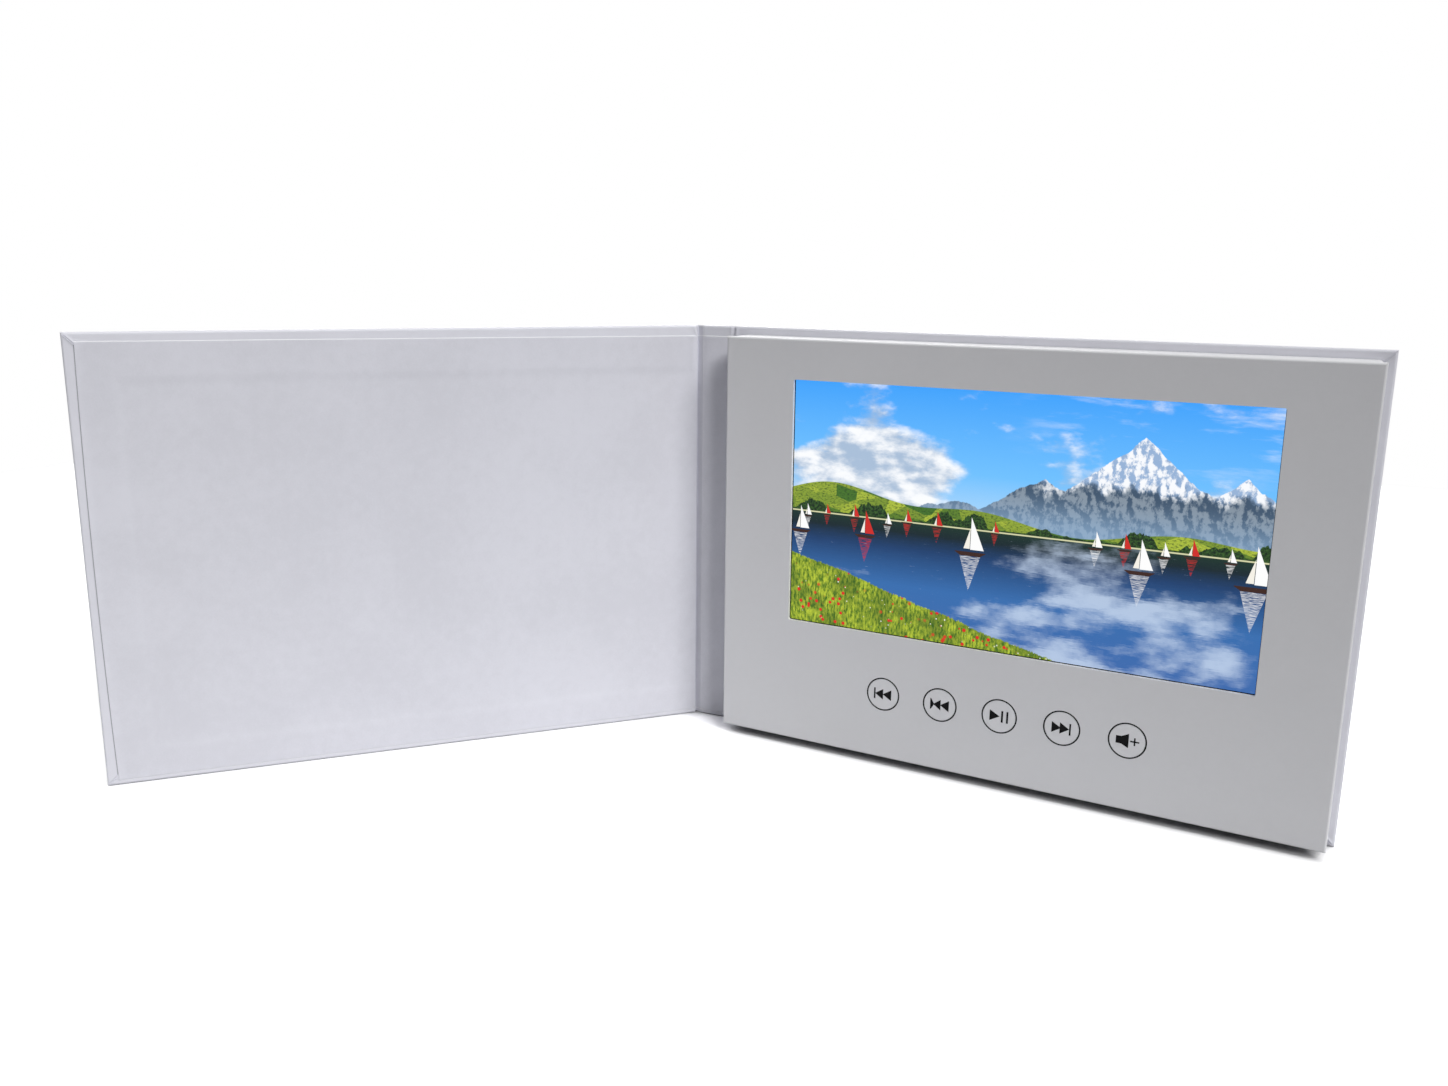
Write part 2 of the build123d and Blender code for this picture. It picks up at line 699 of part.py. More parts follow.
with BuildPart() as component_spacer:
    wires = 2 * wire_radius + wire_pitch
    with BuildSketch(at_depth(layer_depth)):
        with Locations((module_x, module_z)):
            RectangleRounded(inner_width, inner_height, tray_inner_radius)
        # battery, main board with its socket's way out, and speaker
        pocket(battery_x, battery_z, battery_width, battery_height)
        reach_to_wall = main_board_width + 2 * board_to_wall
        pocket(main_board_x + board_to_wall, main_board_z, reach_to_wall, main_board_height)
        pocket(speaker_x, speaker_z, speaker_size, speaker_size)
        # channels for the wires, the second with room for their bend
        pocket((battery_x + main_board_x) / 2, battery_socket_z, main_board_x - battery_x, wires)
        pocket((speaker_x + speaker_socket_x) / 2, speaker_z, speaker_socket_x - speaker_x + wires, wires)
        pocket(speaker_socket_x, (speaker_z + main_board_z) / 2, wires, main_board_z - speaker_z)
        bend_pocket = speaker_wire_bend + wires
        bend_x = speaker_socket_x - speaker_wire_bend / 2
        pocket(bend_x, speaker_z + speaker_wire_bend / 2, bend_pocket, bend_pocket)
        # channels for the two ribbons
        cable_channel = main_board_z - button_z + button_board_height
        pocket(button_cable_x, (button_z + main_board_z) / 2, button_cable_width, cable_channel)
        flex_foot = display_foot - flex
        pocket(display_flex_x, (flex_foot + main_board_z) / 2, display_flex_width, main_board_z - flex_foot)
    extrude(amount=layer_depth - cavity_back)
write(component_spacer.part, "component_spacer")
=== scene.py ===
import json
from math import pi, radians

import bmesh
import bpy
import numpy as np
from mathutils import Matrix, Vector


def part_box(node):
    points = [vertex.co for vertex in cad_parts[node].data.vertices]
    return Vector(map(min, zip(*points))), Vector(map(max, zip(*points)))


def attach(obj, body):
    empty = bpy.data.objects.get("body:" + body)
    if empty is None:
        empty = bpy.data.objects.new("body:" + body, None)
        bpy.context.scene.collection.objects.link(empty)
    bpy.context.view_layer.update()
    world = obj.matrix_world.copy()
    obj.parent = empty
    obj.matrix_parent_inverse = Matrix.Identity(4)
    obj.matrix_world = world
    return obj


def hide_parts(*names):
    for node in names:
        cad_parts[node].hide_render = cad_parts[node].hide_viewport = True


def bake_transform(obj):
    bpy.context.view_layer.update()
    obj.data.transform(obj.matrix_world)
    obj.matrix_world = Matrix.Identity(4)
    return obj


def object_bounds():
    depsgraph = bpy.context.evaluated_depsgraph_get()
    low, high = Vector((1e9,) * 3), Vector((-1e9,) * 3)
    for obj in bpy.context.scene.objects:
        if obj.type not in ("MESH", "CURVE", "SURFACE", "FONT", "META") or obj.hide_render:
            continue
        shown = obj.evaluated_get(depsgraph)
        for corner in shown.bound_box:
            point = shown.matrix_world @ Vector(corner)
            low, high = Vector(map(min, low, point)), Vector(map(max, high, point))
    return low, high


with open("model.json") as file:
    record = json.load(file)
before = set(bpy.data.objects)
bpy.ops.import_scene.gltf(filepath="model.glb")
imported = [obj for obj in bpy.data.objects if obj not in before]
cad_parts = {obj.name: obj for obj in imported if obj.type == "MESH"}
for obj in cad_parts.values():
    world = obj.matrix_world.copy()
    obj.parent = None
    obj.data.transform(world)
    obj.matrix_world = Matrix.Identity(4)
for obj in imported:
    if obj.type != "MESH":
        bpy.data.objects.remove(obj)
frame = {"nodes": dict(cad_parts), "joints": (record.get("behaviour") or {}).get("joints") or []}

# A video brochure: a paper-covered case of three boards, with a screen module glued inside the back cover.
# Everything is in metres, in the frame's own axes: the screen faces -Y and the case stands on Z = 0.

mm = 0.001
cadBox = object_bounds()
nodes = frame["nodes"]
joints = {joint["name"]: joint for joint in frame["joints"]}


def tint(red, green, blue):
    # a colour as it reads on a screen, 0 to 255, made linear
    parts = [part / 255 for part in (red, green, blue)]
    return tuple(part / 12.92 if part < 0.04 else ((part + 0.055) / 1.055) ** 2.4 for part in parts) + (1,)


def shaded(colour, share):
    # the same colour, lighter or darker by a share
    return tuple(part * (1 + share) for part in colour[:3]) + (1,)


# ways to write node trees

def operator(kind, swapped=False):
    def reckoned(signal, other=0.0):
        ends = (other, signal) if swapped else (signal, other)
        return signal.graph.node("ShaderNodeMath", {"operation": kind}, dict(enumerate(ends)))

    return reckoned


class Signal:
    # one output of a node, ready for sums
    def __init__(self, graph, socket):
        self.graph = graph
        self.socket = socket

    __add__ = __radd__ = operator("ADD")
    __mul__ = __rmul__ = operator("MULTIPLY")
    __sub__, __rsub__ = operator("SUBTRACT"), operator("SUBTRACT", swapped=True)
    __truediv__, __rtruediv__ = operator("DIVIDE"), operator("DIVIDE", swapped=True)
    __gt__, __lt__ = operator("GREATER_THAN"), operator("LESS_THAN")
    __abs__, wave, whole = operator("ABSOLUTE"), operator("SINE"), operator("FLOOR")
    most, power = operator("MAXIMUM"), operator("POWER")


def setStops(ramp, stops):
    while len(ramp.elements) < len(stops):
        ramp.elements.new(1)
    for element, (place, colour) in zip(ramp.elements, stops):
        element.position = place
        element.color = colour


class Graph:
    # a node tree, filled node by node
    def __init__(self, tree):
        self.tree = tree

    def node(self, kind, settings=None, inputs=None, output=0):
        made = self.tree.nodes.new(kind)
        for key, value in (settings or {}).items():
            if key == "stops":
                setStops(made.color_ramp, value)
            else:
                setattr(made, key, value)
        for key, value in (inputs or {}).items():
            if isinstance(value, Signal):
                self.tree.links.new(value.socket, made.inputs[key])
            else:
                made.inputs[key].default_value = value
        return Signal(self, made.outputs[output]) if len(made.outputs) else made

    def axes(self, vector):
        return [self.node("ShaderNodeSeparateXYZ", None, {0: vector}, axis) for axis in "XYZ"]

    def point(self, x, y, z=0.0):
        return self.node("ShaderNodeCombineXYZ", None, {0: x, 1: y, 2: z})

    def scaled(self, vector, x, y, z):
        return self.node("ShaderNodeVectorMath", {"operation": "MULTIPLY"}, {0: vector, 1: (x, y, z)})

    def moved(self, vector, x, y, z):
        return self.node("ShaderNodeVectorMath", {"operation": "ADD"}, {0: vector, 1: (x, y, z)})

    def noise(self, vector, size, detail=2.0, rough=0.5):
        values = {"Vector": vector, "Scale": 1 / size, "Detail": detail, "Roughness": rough}
        return self.node("ShaderNodeTexNoise", None, values)

    def cells(self, vector, size, output="Distance"):
        return self.node("ShaderNodeTexVoronoi", None, {"Vector": vector, "Scale": 1 / size}, output)

    def chance(self, vector):
        return self.node("ShaderNodeTexWhiteNoise", None, {"Vector": vector})

    def rise(self, value, start, end):
        # 0 before start, 1 after end, smooth between them
        ends = {0: value, 1: start, 2: end, 3: 0.0, 4: 1.0}
        return self.node("ShaderNodeMapRange", {"interpolation_type": "SMOOTHSTEP"}, ends)

    def mix(self, share, first, second):
        return self.node("ShaderNodeMix", {"data_type": "RGBA"}, {0: share, 6: first, 7: second}, 2)

    def ramp(self, value, *stops):
        return self.node("ShaderNodeValToRGB", {"stops": stops}, {0: value})

    def bump(self, height, depth):
        return self.node("ShaderNodeBump", None, {"Strength": 1.0, "Distance": depth, "Height": height})


class Finish(Graph):
    # one material
    def __init__(self, name):
        self.material = bpy.data.materials.new(name)
        self.material.use_nodes = True
        self.material.node_tree.nodes.clear()
        super().__init__(self.material.node_tree)

    def place(self):
        return self.node("ShaderNodeTexCoord", output="Object")

    def done(self, sockets):
        shader = self.node("ShaderNodeBsdfPrincipled", None, sockets)
        self.node("ShaderNodeOutputMaterial", None, {"Surface": shader})
        return self.material

    def surface(self, colour, roughness, height, depth, metallic=0.0, specular=0.5):
        return self.done({
            "Base Color": colour, "Metallic": metallic, "Roughness": roughness,
            "Specular IOR Level": specular, "Normal": self.bump(height, depth),
        })


# paper and board

coverPaper = {
    "name": "coverPaper", "colour": tint(229, 229, 237), "roughness": 0.5, "specular": 0.35,
    "tooth": 0.45 * mm, "toothDepth": 0.008 * mm, "mottle": 0.018,
}
linerPaper = {
    "name": "linerPaper", "colour": tint(224, 224, 232), "roughness": 0.75, "specular": 0.2,
    "tooth": 0.6 * mm, "toothDepth": 0.03 * mm, "mottle": 0.035,
}
facePaper = {
    "name": "facePaper", "colour": tint(226, 226, 229), "roughness": 0.48, "specular": 0.35,
    "tooth": 0.35 * mm, "toothDepth": 0.004 * mm, "mottle": 0.012,
}
buttonPaper = {
    "name": "buttonPaper", "colour": tint(231, 231, 234), "roughness": 0.45, "specular": 0.35,
    "tooth": 0.35 * mm, "toothDepth": 0.004 * mm, "mottle": 0.012,
}
cutEdgeColour = tint(250, 250, 252)  # bare fibres where a sheet was cut
seamShadeColour = tint(120, 119, 126)  # painted shade along an edge that lies on another sheet, where its contact shadow falls


def paperFinish(look):
    finish = Finish(look["name"])
    place = finish.place()
    tooth = finish.noise(place, look["tooth"], 3.0, 0.6)
    felt = finish.noise(place, 6 * look["tooth"], 3.0, 0.6)
    cloud = finish.noise(place, 35 * mm, 2.0)
    mottle = finish.rise(0.5 * cloud + 0.3 * felt + 0.2 * tooth, 0.35, 0.65)
    darker = shaded(look["colour"], -look["mottle"])
    lighter = shaded(look["colour"], look["mottle"])
    colour = finish.mix(mottle, darker, lighter)
    cut = finish.node("ShaderNodeAttribute", {"attribute_name": "cutEdge"}, None, "Fac")
    seam = finish.node("ShaderNodeAttribute", {"attribute_name": "seam"}, None, "Fac")
    relief = 0.7 * tooth + 0.5 * felt
    # bare cut edges whiter, and painted shade where a sheet's edge lies on another
    colour = finish.mix(seam, finish.mix(cut, colour, cutEdgeColour), seamShadeColour)
    roughness = look["roughness"] + 0.12 * (felt - 0.5)
    return finish.surface(colour, roughness, relief, look["toothDepth"], specular=look["specular"])


greyboard = {
    "name": "greyboard", "colour": tint(152, 147, 139), "speck": tint(96, 92, 88), "fibre": 1.6 * mm,
    "roughness": 0.9,
}
spacerBoard = {
    "name": "spacerBoard", "colour": tint(206, 200, 188), "speck": tint(160, 150, 134), "fibre": 1.1 * mm,
    "roughness": 0.9,
}
faceBoard = {
    "name": "faceBoard", "colour": tint(247, 247, 245), "speck": tint(230, 228, 222), "fibre": 0.9 * mm,
    "roughness": 0.85,
}


def boardFinish(look):
    # pulp with longer fibres lying in it and darker specks
    finish = Finish(look["name"])
    place = finish.place()
    fibres = finish.noise(finish.scaled(place, 1, 1, 4), look["fibre"], 5.0, 0.65)
    pulp = finish.noise(place, 9 * mm, 3.0)
    specks = 1 - finish.rise(finish.cells(place, look["fibre"]), 0.05, 0.16)
    shade = finish.mix(
        finish.rise(fibres, 0.3, 0.7), shaded(look["colour"], -0.12), shaded(look["colour"], 0.08),
    )
    shade = finish.mix(0.25 * pulp, shade, shaded(look["colour"], -0.2))
    colour = finish.mix(0.55 * specks, shade, look["speck"])
    return finish.surface(colour, look["roughness"] - 0.1 * fibres, fibres, 0.05 * mm, specular=0.15)


ink = {"name": "ink", "colour": tint(9, 9, 11), "thin": tint(30, 30, 32), "roughness": 0.6}


def inkFinish():
    # printed black, a little thinner where the paper's tooth shows through
    finish = Finish(ink["name"])
    tooth = finish.noise(finish.place(), 0.2 * mm, 3.0)
    thin = finish.rise(tooth, 0.62, 0.8)
    colour = finish.mix(0.5 * thin, ink["colour"], ink["thin"])
    return finish.surface(colour, ink["roughness"] + 0.15 * tooth, tooth, 0.004 * mm, specular=0.1)


# metal, plastic and electronics

def metalFinish(name, colour, roughness, brush=0.4 * mm, across=(1, 1, 12), depth=0.006 * mm):
    # sheet metal with the fine lines of rolling or brushing along one way
    finish = Finish(name)
    place = finish.place()
    lines = finish.noise(finish.scaled(place, *across), brush * 6, 4.0, 0.7)
    smear = finish.noise(place, 12 * mm, 3.0)
    roughness = roughness + 0.18 * (lines - 0.5) + 0.1 * (smear - 0.5)
    colour = finish.mix(finish.rise(smear, 0.35, 0.7), shaded(colour, -0.08), colour)
    return finish.surface(colour, roughness, lines, depth, metallic=1.0)


def plasticFinish(name, colour, roughness, grain=0.25 * mm, depth=0.008 * mm):
    # moulded plastic with a spark-eroded grain
    finish = Finish(name)
    place = finish.place()
    fine = finish.noise(place, grain, 3.0, 0.6)
    broad = finish.noise(place, 8 * mm, 2.0)
    colour = finish.mix(broad, shaded(colour, -0.08), shaded(colour, 0.08))
    return finish.surface(colour, roughness + 0.12 * (fine - 0.5), fine, depth)


circuit = {
    "mask": tint(22, 92, 50), "track": tint(48, 132, 74), "pad": tint(206, 180, 110),
    "trackPitch": 1.3 * mm, "padPitch": 3.1 * mm, "padRadius": 0.42,
}


def circuitFinish():
    # green lacquer, raised where copper tracks run under it, with tinned pads
    finish = Finish("circuitBoard")
    place = finish.place()
    x, y, z = finish.axes(place)
    wander = finish.noise(place, 22 * mm, 1.0)
    slant = (x + z) / circuit["trackPitch"] + 6 * (wander > 0.5)
    straight = x / circuit["trackPitch"]
    turned = finish.rise(finish.noise(place, 16 * mm, 0.0), 0.49, 0.51)
    lanes = slant * turned + straight * (1 - turned)
    tracks = finish.rise((lanes * 2 * pi).wave(), 0.1, 0.5)
    crowd = finish.rise(finish.noise(place, 9 * mm, 1.0), 0.42, 0.5)
    tracks = tracks * crowd
    dots = finish.cells(finish.scaled(place, 1, 0, 1), circuit["padPitch"])
    pads = 1 - finish.rise(dots, circuit["padRadius"] * 0.35, circuit["padRadius"] * 0.45)
    green = finish.mix(tracks, circuit["mask"], circuit["track"])
    colour = finish.mix(pads, green, circuit["pad"])
    return finish.surface(colour, 0.34 + 0.1 * wander, tracks + pads, 0.03 * mm, metallic=pads)


ribbon = {"film": tint(196, 120, 38), "copper": tint(150, 78, 22), "pitch": 0.9 * mm}


def ribbonFinish():
    # amber film over parallel copper tracks
    finish = Finish("ribbon")
    place = finish.place()
    x = finish.axes(place)[0]
    tracks = finish.rise((x * (2 * pi / ribbon["pitch"])).wave(), -0.2, 0.3)
    clouding = finish.noise(place, 6 * mm, 2.0)
    colour = finish.mix(tracks, ribbon["film"], ribbon["copper"])
    return finish.surface(colour, 0.28 + 0.1 * clouding, tracks, 0.02 * mm)


foil = {"dark": tint(196, 198, 202), "light": tint(224, 226, 230), "weave": 2.4 * mm, "creases": 14 * mm}


def foilFinish():
    # the pouch cell's foil, with a shallow diamond emboss and creases
    finish = Finish("batteryFoil")
    place = finish.place()
    x, y, z = finish.axes(place)
    turns = 2 * pi / foil["weave"]
    weave = ((x + z) * turns).wave() * ((x - z) * turns).wave()
    creases = finish.noise(place, foil["creases"], 4.0, 0.65)
    colour = finish.mix(creases, foil["dark"], foil["light"])
    return finish.surface(colour, 0.3 + 0.2 * creases, 0.4 * weave + creases, 0.06 * mm, metallic=1.0)


guide = {"acrylic": tint(226, 232, 238), "dot": tint(248, 250, 252), "pitch": 1.6 * mm}


def guideFinish():
    # frosted acrylic with the printed dots that lead the light out
    finish = Finish("lightGuide")
    place = finish.place()
    dots = 1 - finish.rise(finish.cells(finish.scaled(place, 1, 0, 1), guide["pitch"]), 0.22, 0.3)
    haze = finish.noise(place, 20 * mm, 2.0)
    colour = finish.mix(dots, guide["acrylic"], guide["dot"])
    return finish.surface(colour, 0.18 + 0.35 * dots + 0.05 * haze, dots, 0.01 * mm)


def tapeFinish(name, colour, roughness):
    finish = Finish(name)
    place = finish.place()
    wrinkle = finish.noise(finish.scaled(place, 1, 1, 3), 7 * mm, 4.0, 0.6)
    colour = finish.mix(wrinkle, shaded(colour, -0.1), shaded(colour, 0.06))
    return finish.surface(colour, roughness + 0.15 * wrinkle, wrinkle, 0.05 * mm)


leads = {"lower": tint(30, 30, 32), "upper": tint(196, 34, 30), "scuffed": tint(120, 110, 108)}


def wireFinish():
    # one lead red, its mate black, told apart by which side of the pair it runs on
    finish = Finish("wire")
    place = finish.place()
    z = finish.axes(place)[2]
    low, high = (corner.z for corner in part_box("battery_wires"))
    upper = z > (low + high) / 2
    scuff = finish.noise(place, 1.2 * mm, 3.0)
    colour = finish.mix(0.2 * scuff, finish.mix(upper, leads["lower"], leads["upper"]), leads["scuffed"])
    return finish.surface(colour, 0.38 + 0.15 * scuff, scuff, 0.01 * mm)


cone = {"film": tint(48, 48, 51), "dusty": tint(70, 70, 74), "rib": 1.5 * mm}


def coneFinish():
    # pressed film with ribs round its middle
    finish = Finish("speakerFilm")
    place = finish.place()
    low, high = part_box("speaker_cone")
    middle = (low + high) / 2
    x, y, z = finish.axes(finish.moved(place, -middle.x, 0, -middle.z))
    radius = (x * x + z * z).power(0.5)
    ribs = (radius * (2 * pi / cone["rib"])).wave()
    dust = finish.noise(place, 2 * mm, 3.0)
    return finish.surface(finish.mix(dust, cone["film"], cone["dusty"]), 0.42 + 0.15 * dust, ribs, 0.08 * mm)


# the picture on the screen: a lake with sails under snowy hills, made for this part

picture = {
    # the lit part of the glass, with the black lines along its edges
    "left": -75.1 * mm, "foot": 47.8 * mm, "width": 154.1 * mm, "height": 85.9 * mm,
    "blackLeft": 0.35 * mm, "blackRight": 0.2 * mm, "blackFoot": 0.35 * mm, "blackTop": 0.08 * mm,
    "skin": 0.1 * mm,  # depth of the glass that lights up
    "glow": 1.0,
    # in shares of the picture's height: the far shore's line, each peak's middle, top and slope, and for each
    # row of boats its line, spacing, size and seed
    "shore": 0.47,
    "peaks": ((1.36, 0.86, 0.78), (1.02, 0.70, 0.62), (1.70, 0.74, 0.60), (0.70, 0.58, 0.30)),
    "boats": ((0.455, 0.115, 0.050, 3.0), (0.385, 0.33, 0.125, 11.4)),
}


def skyAt(finish, x, y, point):
    # blue that pales towards the horizon, with a cloud bank at the left and thin streaks at the right
    blue = finish.ramp(y, (0.45, tint(186, 222, 250)), (0.68, tint(110, 192, 254)), (1.0, tint(62, 162, 252)))
    spread = finish.scaled(point, 1.0, 1.9, 1.0)
    billow = finish.noise(spread, 0.34, 9.0, 0.56)
    ahead = finish.noise(finish.moved(spread, 0.035, 0.05, 0), 0.34, 9.0, 0.56)
    bank = finish.rise(0.55 - abs(x - 0.34) - 1.6 * abs(y - 0.70), 0.0, 0.42)
    band = finish.rise(0.20 - abs(y - 0.57 - 0.03 * x), 0.0, 0.2)
    cover = finish.rise(billow + 0.34 * bank + 0.16 * band, 0.58, 0.78)
    lit = finish.rise(billow - ahead, -0.08, 0.10)
    cloud = finish.mix(lit, tint(168, 190, 216), tint(250, 252, 255))
    streak = finish.noise(finish.scaled(finish.moved(point, 3.1, 0.4, 0), 1.0, 5.0, 1.0), 0.42, 7.0, 0.6)
    wisps = finish.rise(streak, 0.52, 0.74) * finish.rise(x, 0.8, 1.3) * finish.rise(y, 0.68, 0.86)
    sky = finish.mix(0.65 * wisps, blue, tint(236, 245, 255))
    return finish.mix(cover, sky, cloud)


def ridgeAt(finish, x, peaks, roughness, size, seed):
    # the height of a skyline: straight-sided peaks with a ragged edge
    ragged = (finish.noise(finish.point(x, seed), size, 7.0, 0.6) - 0.5) * roughness
    line = None
    for centre, top, slope in peaks:
        side = top - slope * abs(x - centre)
        line = side if line is None else line.most(side)
    return line + ragged


def snowyRange(finish, x, y, point, behind):
    ridge = ridgeAt(finish, x, picture["peaks"], 0.10, 0.16, 4.0)
    craggy = finish.noise(finish.scaled(point, 1.6, 1.0, 1.0), 0.10, 8.0, 0.65)
    ahead = finish.noise(finish.scaled(finish.moved(point, 0.012, 0.012, 0), 1.6, 1.0, 1.0), 0.10, 8.0, 0.65)
    lit = finish.rise(craggy - ahead, -0.05, 0.05)
    rock = finish.mix(lit, tint(62, 84, 108), tint(132, 146, 160))
    snow = finish.mix(lit, tint(150, 178, 214), tint(248, 250, 254))
    snowLine = finish.rise(y + 0.22 * (craggy - 0.5), 0.655, 0.70)
    stone = finish.mix(snowLine, rock, snow)
    haze = 1 - finish.rise(y, 0.47, 0.66)
    stone = finish.mix(0.6 * haze, stone, tint(150, 186, 222))
    return finish.mix(finish.rise(ridge - y, 0.0, 0.004), behind, stone)


def greenHills(finish, x, y, point, behind):
    swell = 0.035 * (x * 4.1 + 0.6).wave() + 0.022 * (x * 9.7).wave()
    ridge = 0.545 + swell - 0.05 * finish.rise(x, 1.0, 1.5)
    fields = finish.cells(finish.scaled(point, 1.0, 2.6, 1.0), 0.11, "Color")
    patch = finish.axes(fields)[0]
    grass = finish.mix(patch, tint(64, 112, 38), tint(176, 194, 62))
    tufts = finish.noise(finish.scaled(point, 1.0, 2.0, 1.0), 0.012, 4.0, 0.7)
    grass = finish.mix(finish.rise(tufts, 0.45, 0.7), grass, tint(34, 66, 30))
    green = finish.mix(finish.rise(ridge - y, 0.0, 0.003), behind, grass)
    crown = finish.noise(finish.point(x, 9.0), 0.016, 3.0, 0.7)
    clump = finish.noise(finish.point(x, 2.0), 0.14, 2.0)
    treeTop = picture["shore"] + 0.010 + 0.055 * finish.rise(clump, 0.42, 0.62) * (0.35 + crown)
    leaves = finish.noise(point, 0.010, 3.0, 0.7)
    wood = finish.mix(finish.rise(leaves, 0.4, 0.65), tint(14, 38, 20), tint(58, 96, 40))
    return finish.mix(finish.rise(treeTop - y, 0.0, 0.003), green, wood)


def lakeWater(finish, x, y, point, land):
    shore = picture["shore"]
    depth = shore - y
    ripple = finish.noise(finish.scaled(point, 1.0, 9.0, 1.0), 0.05, 5.0, 0.65)
    depthNow = depth + 0.03 * (ripple - 0.5)
    water = finish.ramp(
        depthNow, (0.0, tint(20, 50, 40)), (0.045, tint(14, 36, 44)), (0.11, tint(24, 62, 110)),
        (0.26, tint(52, 108, 174)), (0.47, tint(58, 104, 172)),
    )
    mirrored = finish.point(x, 0.94 - y + 0.05 * (ripple - 0.5))
    billow = finish.noise(finish.scaled(mirrored, 1.0, 2.4, 1.0), 0.30, 6.0, 0.56)
    bank = finish.rise(0.8 - abs(x - 1.25) - 1.3 * abs(y - 0.12), 0.0, 0.5)
    glint = finish.rise(billow + 0.22 * bank, 0.60, 0.84)
    water = finish.mix(0.8 * glint, water, tint(196, 214, 238))
    sparkle = finish.rise(ripple, 0.66, 0.74)
    water = finish.mix(0.35 * sparkle, water, tint(206, 226, 246))
    beach = finish.rise(0.0035 - abs(depth), 0.0, 0.0015)
    scene = finish.mix(finish.rise(depth, 0.0, 0.002), land, water)
    return finish.mix(beach, scene, tint(214, 214, 170))


def sailsOn(finish, x, y, line, pitch, size, seed, behind):
    # a row of small boats: one in each stretch of the line, each of its own size and colour
    cell = (x / pitch + seed).whole()
    luck = finish.chance(finish.point(cell, seed))
    other = finish.chance(finish.point(cell, seed + 7.3))
    across = (x / pitch + seed) - cell - 0.5 + 0.5 * (luck - 0.5)
    height = size * (0.6 + 0.8 * other)
    side = across * pitch
    up = y - (line + 0.03 * (luck - 0.5))
    narrowing = height - up
    main = (side > 0.0) * (side < 0.42 * narrowing) * (up > 0.12 * height)
    jib = (side < -0.002) * (side > -0.30 * (narrowing - 0.25 * height)) * (up > 0.14 * height)
    hull = (abs(side) < 0.42 * height - 1.6 * (0.04 * height - up).most(0.0)) * (abs(up) < 0.055 * height)
    here = (other > 0.30) * (up > -1.0)
    red = luck > 0.52
    mainColour = finish.mix(red, tint(252, 252, 252), tint(206, 40, 34))
    scene = finish.mix(main * here, behind, mainColour)
    scene = finish.mix(jib * here, scene, tint(244, 240, 230))
    scene = finish.mix(hull * here, scene, tint(60, 34, 26))
    down = 0.0 - up
    shine = (abs(side) < 0.30 * (height - down)) * (down > 0.06 * height) * here * (down < height)
    blur = finish.noise(finish.scaled(finish.point(x, y), 1.0, 14.0, 1.0), 0.03, 3.0)
    return finish.mix(0.6 * shine * finish.rise(blur, 0.44, 0.56), scene, mainColour)


def meadow(finish, x, y, point, behind):
    edge = 0.30 - 0.27 * x + 0.05 * (finish.noise(finish.point(x, 5.0), 0.30, 3.0) - 0.5)
    blades = finish.noise(finish.scaled(point, 3.2, 1.0, 1.0), 0.030, 5.0, 0.7)
    inside = finish.rise(edge + 0.03 * (blades - 0.5) - y, 0.0, 0.004)
    grass = finish.mix(finish.rise(blades, 0.35, 0.65), tint(58, 104, 22), tint(190, 206, 58))
    shade = finish.rise(finish.noise(point, 0.12, 2.0), 0.4, 0.62)
    grass = finish.mix(0.55 * shade, grass, tint(40, 84, 24))
    poppies = 1 - finish.rise(finish.cells(finish.moved(point, 1.7, 0.3, 0), 0.030), 0.20, 0.26)
    flowering = finish.rise(finish.noise(finish.moved(point, 9.0, 0, 0), 0.16, 2.0), 0.40, 0.55)
    grass = finish.mix(poppies * flowering, grass, tint(216, 44, 30))
    daisies = 1 - finish.rise(finish.cells(finish.moved(point, 4.2, 2.3, 0), 0.024), 0.10, 0.15)
    grass = finish.mix(daisies * shade, grass, tint(250, 248, 236))
    return finish.mix(inside, behind, grass)


def screenFinish():
    finish = Finish("screenGlass")
    placeX, placeY, placeZ = finish.axes(finish.place())
    x = (placeX - picture["left"]) / picture["height"]
    y = (placeZ - picture["foot"]) / picture["height"]
    point = finish.point(x, y)
    scene = skyAt(finish, x, y, point)
    scene = snowyRange(finish, x, y, point, scene)
    scene = greenHills(finish, x, y, point, scene)
    scene = lakeWater(finish, x, y, point, scene)
    for row in picture["boats"]:
        scene = sailsOn(finish, x, y, *row, scene)
    scene = meadow(finish, x, y, point, scene)
    height = picture["height"]
    inside = (x > picture["blackLeft"] / height) * (x < (picture["width"] - picture["blackRight"]) / height)
    inside = inside * (y > picture["blackFoot"] / height) * (y < 1 - picture["blackTop"] / height)
    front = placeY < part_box("display_glass")[0].y + picture["skin"]
    shown = finish.mix(inside * front, (0, 0, 0, 1), scene)
    smears = finish.noise(finish.place(), 18 * mm, 3.0)
    return finish.done({
        "Base Color": (0.004, 0.004, 0.005, 1),
        "Roughness": 0.16 + 0.06 * smears,
        "Specular IOR Level": 0.12,
        "Emission Color": shown,
        "Emission Strength": picture["glow"],
    })


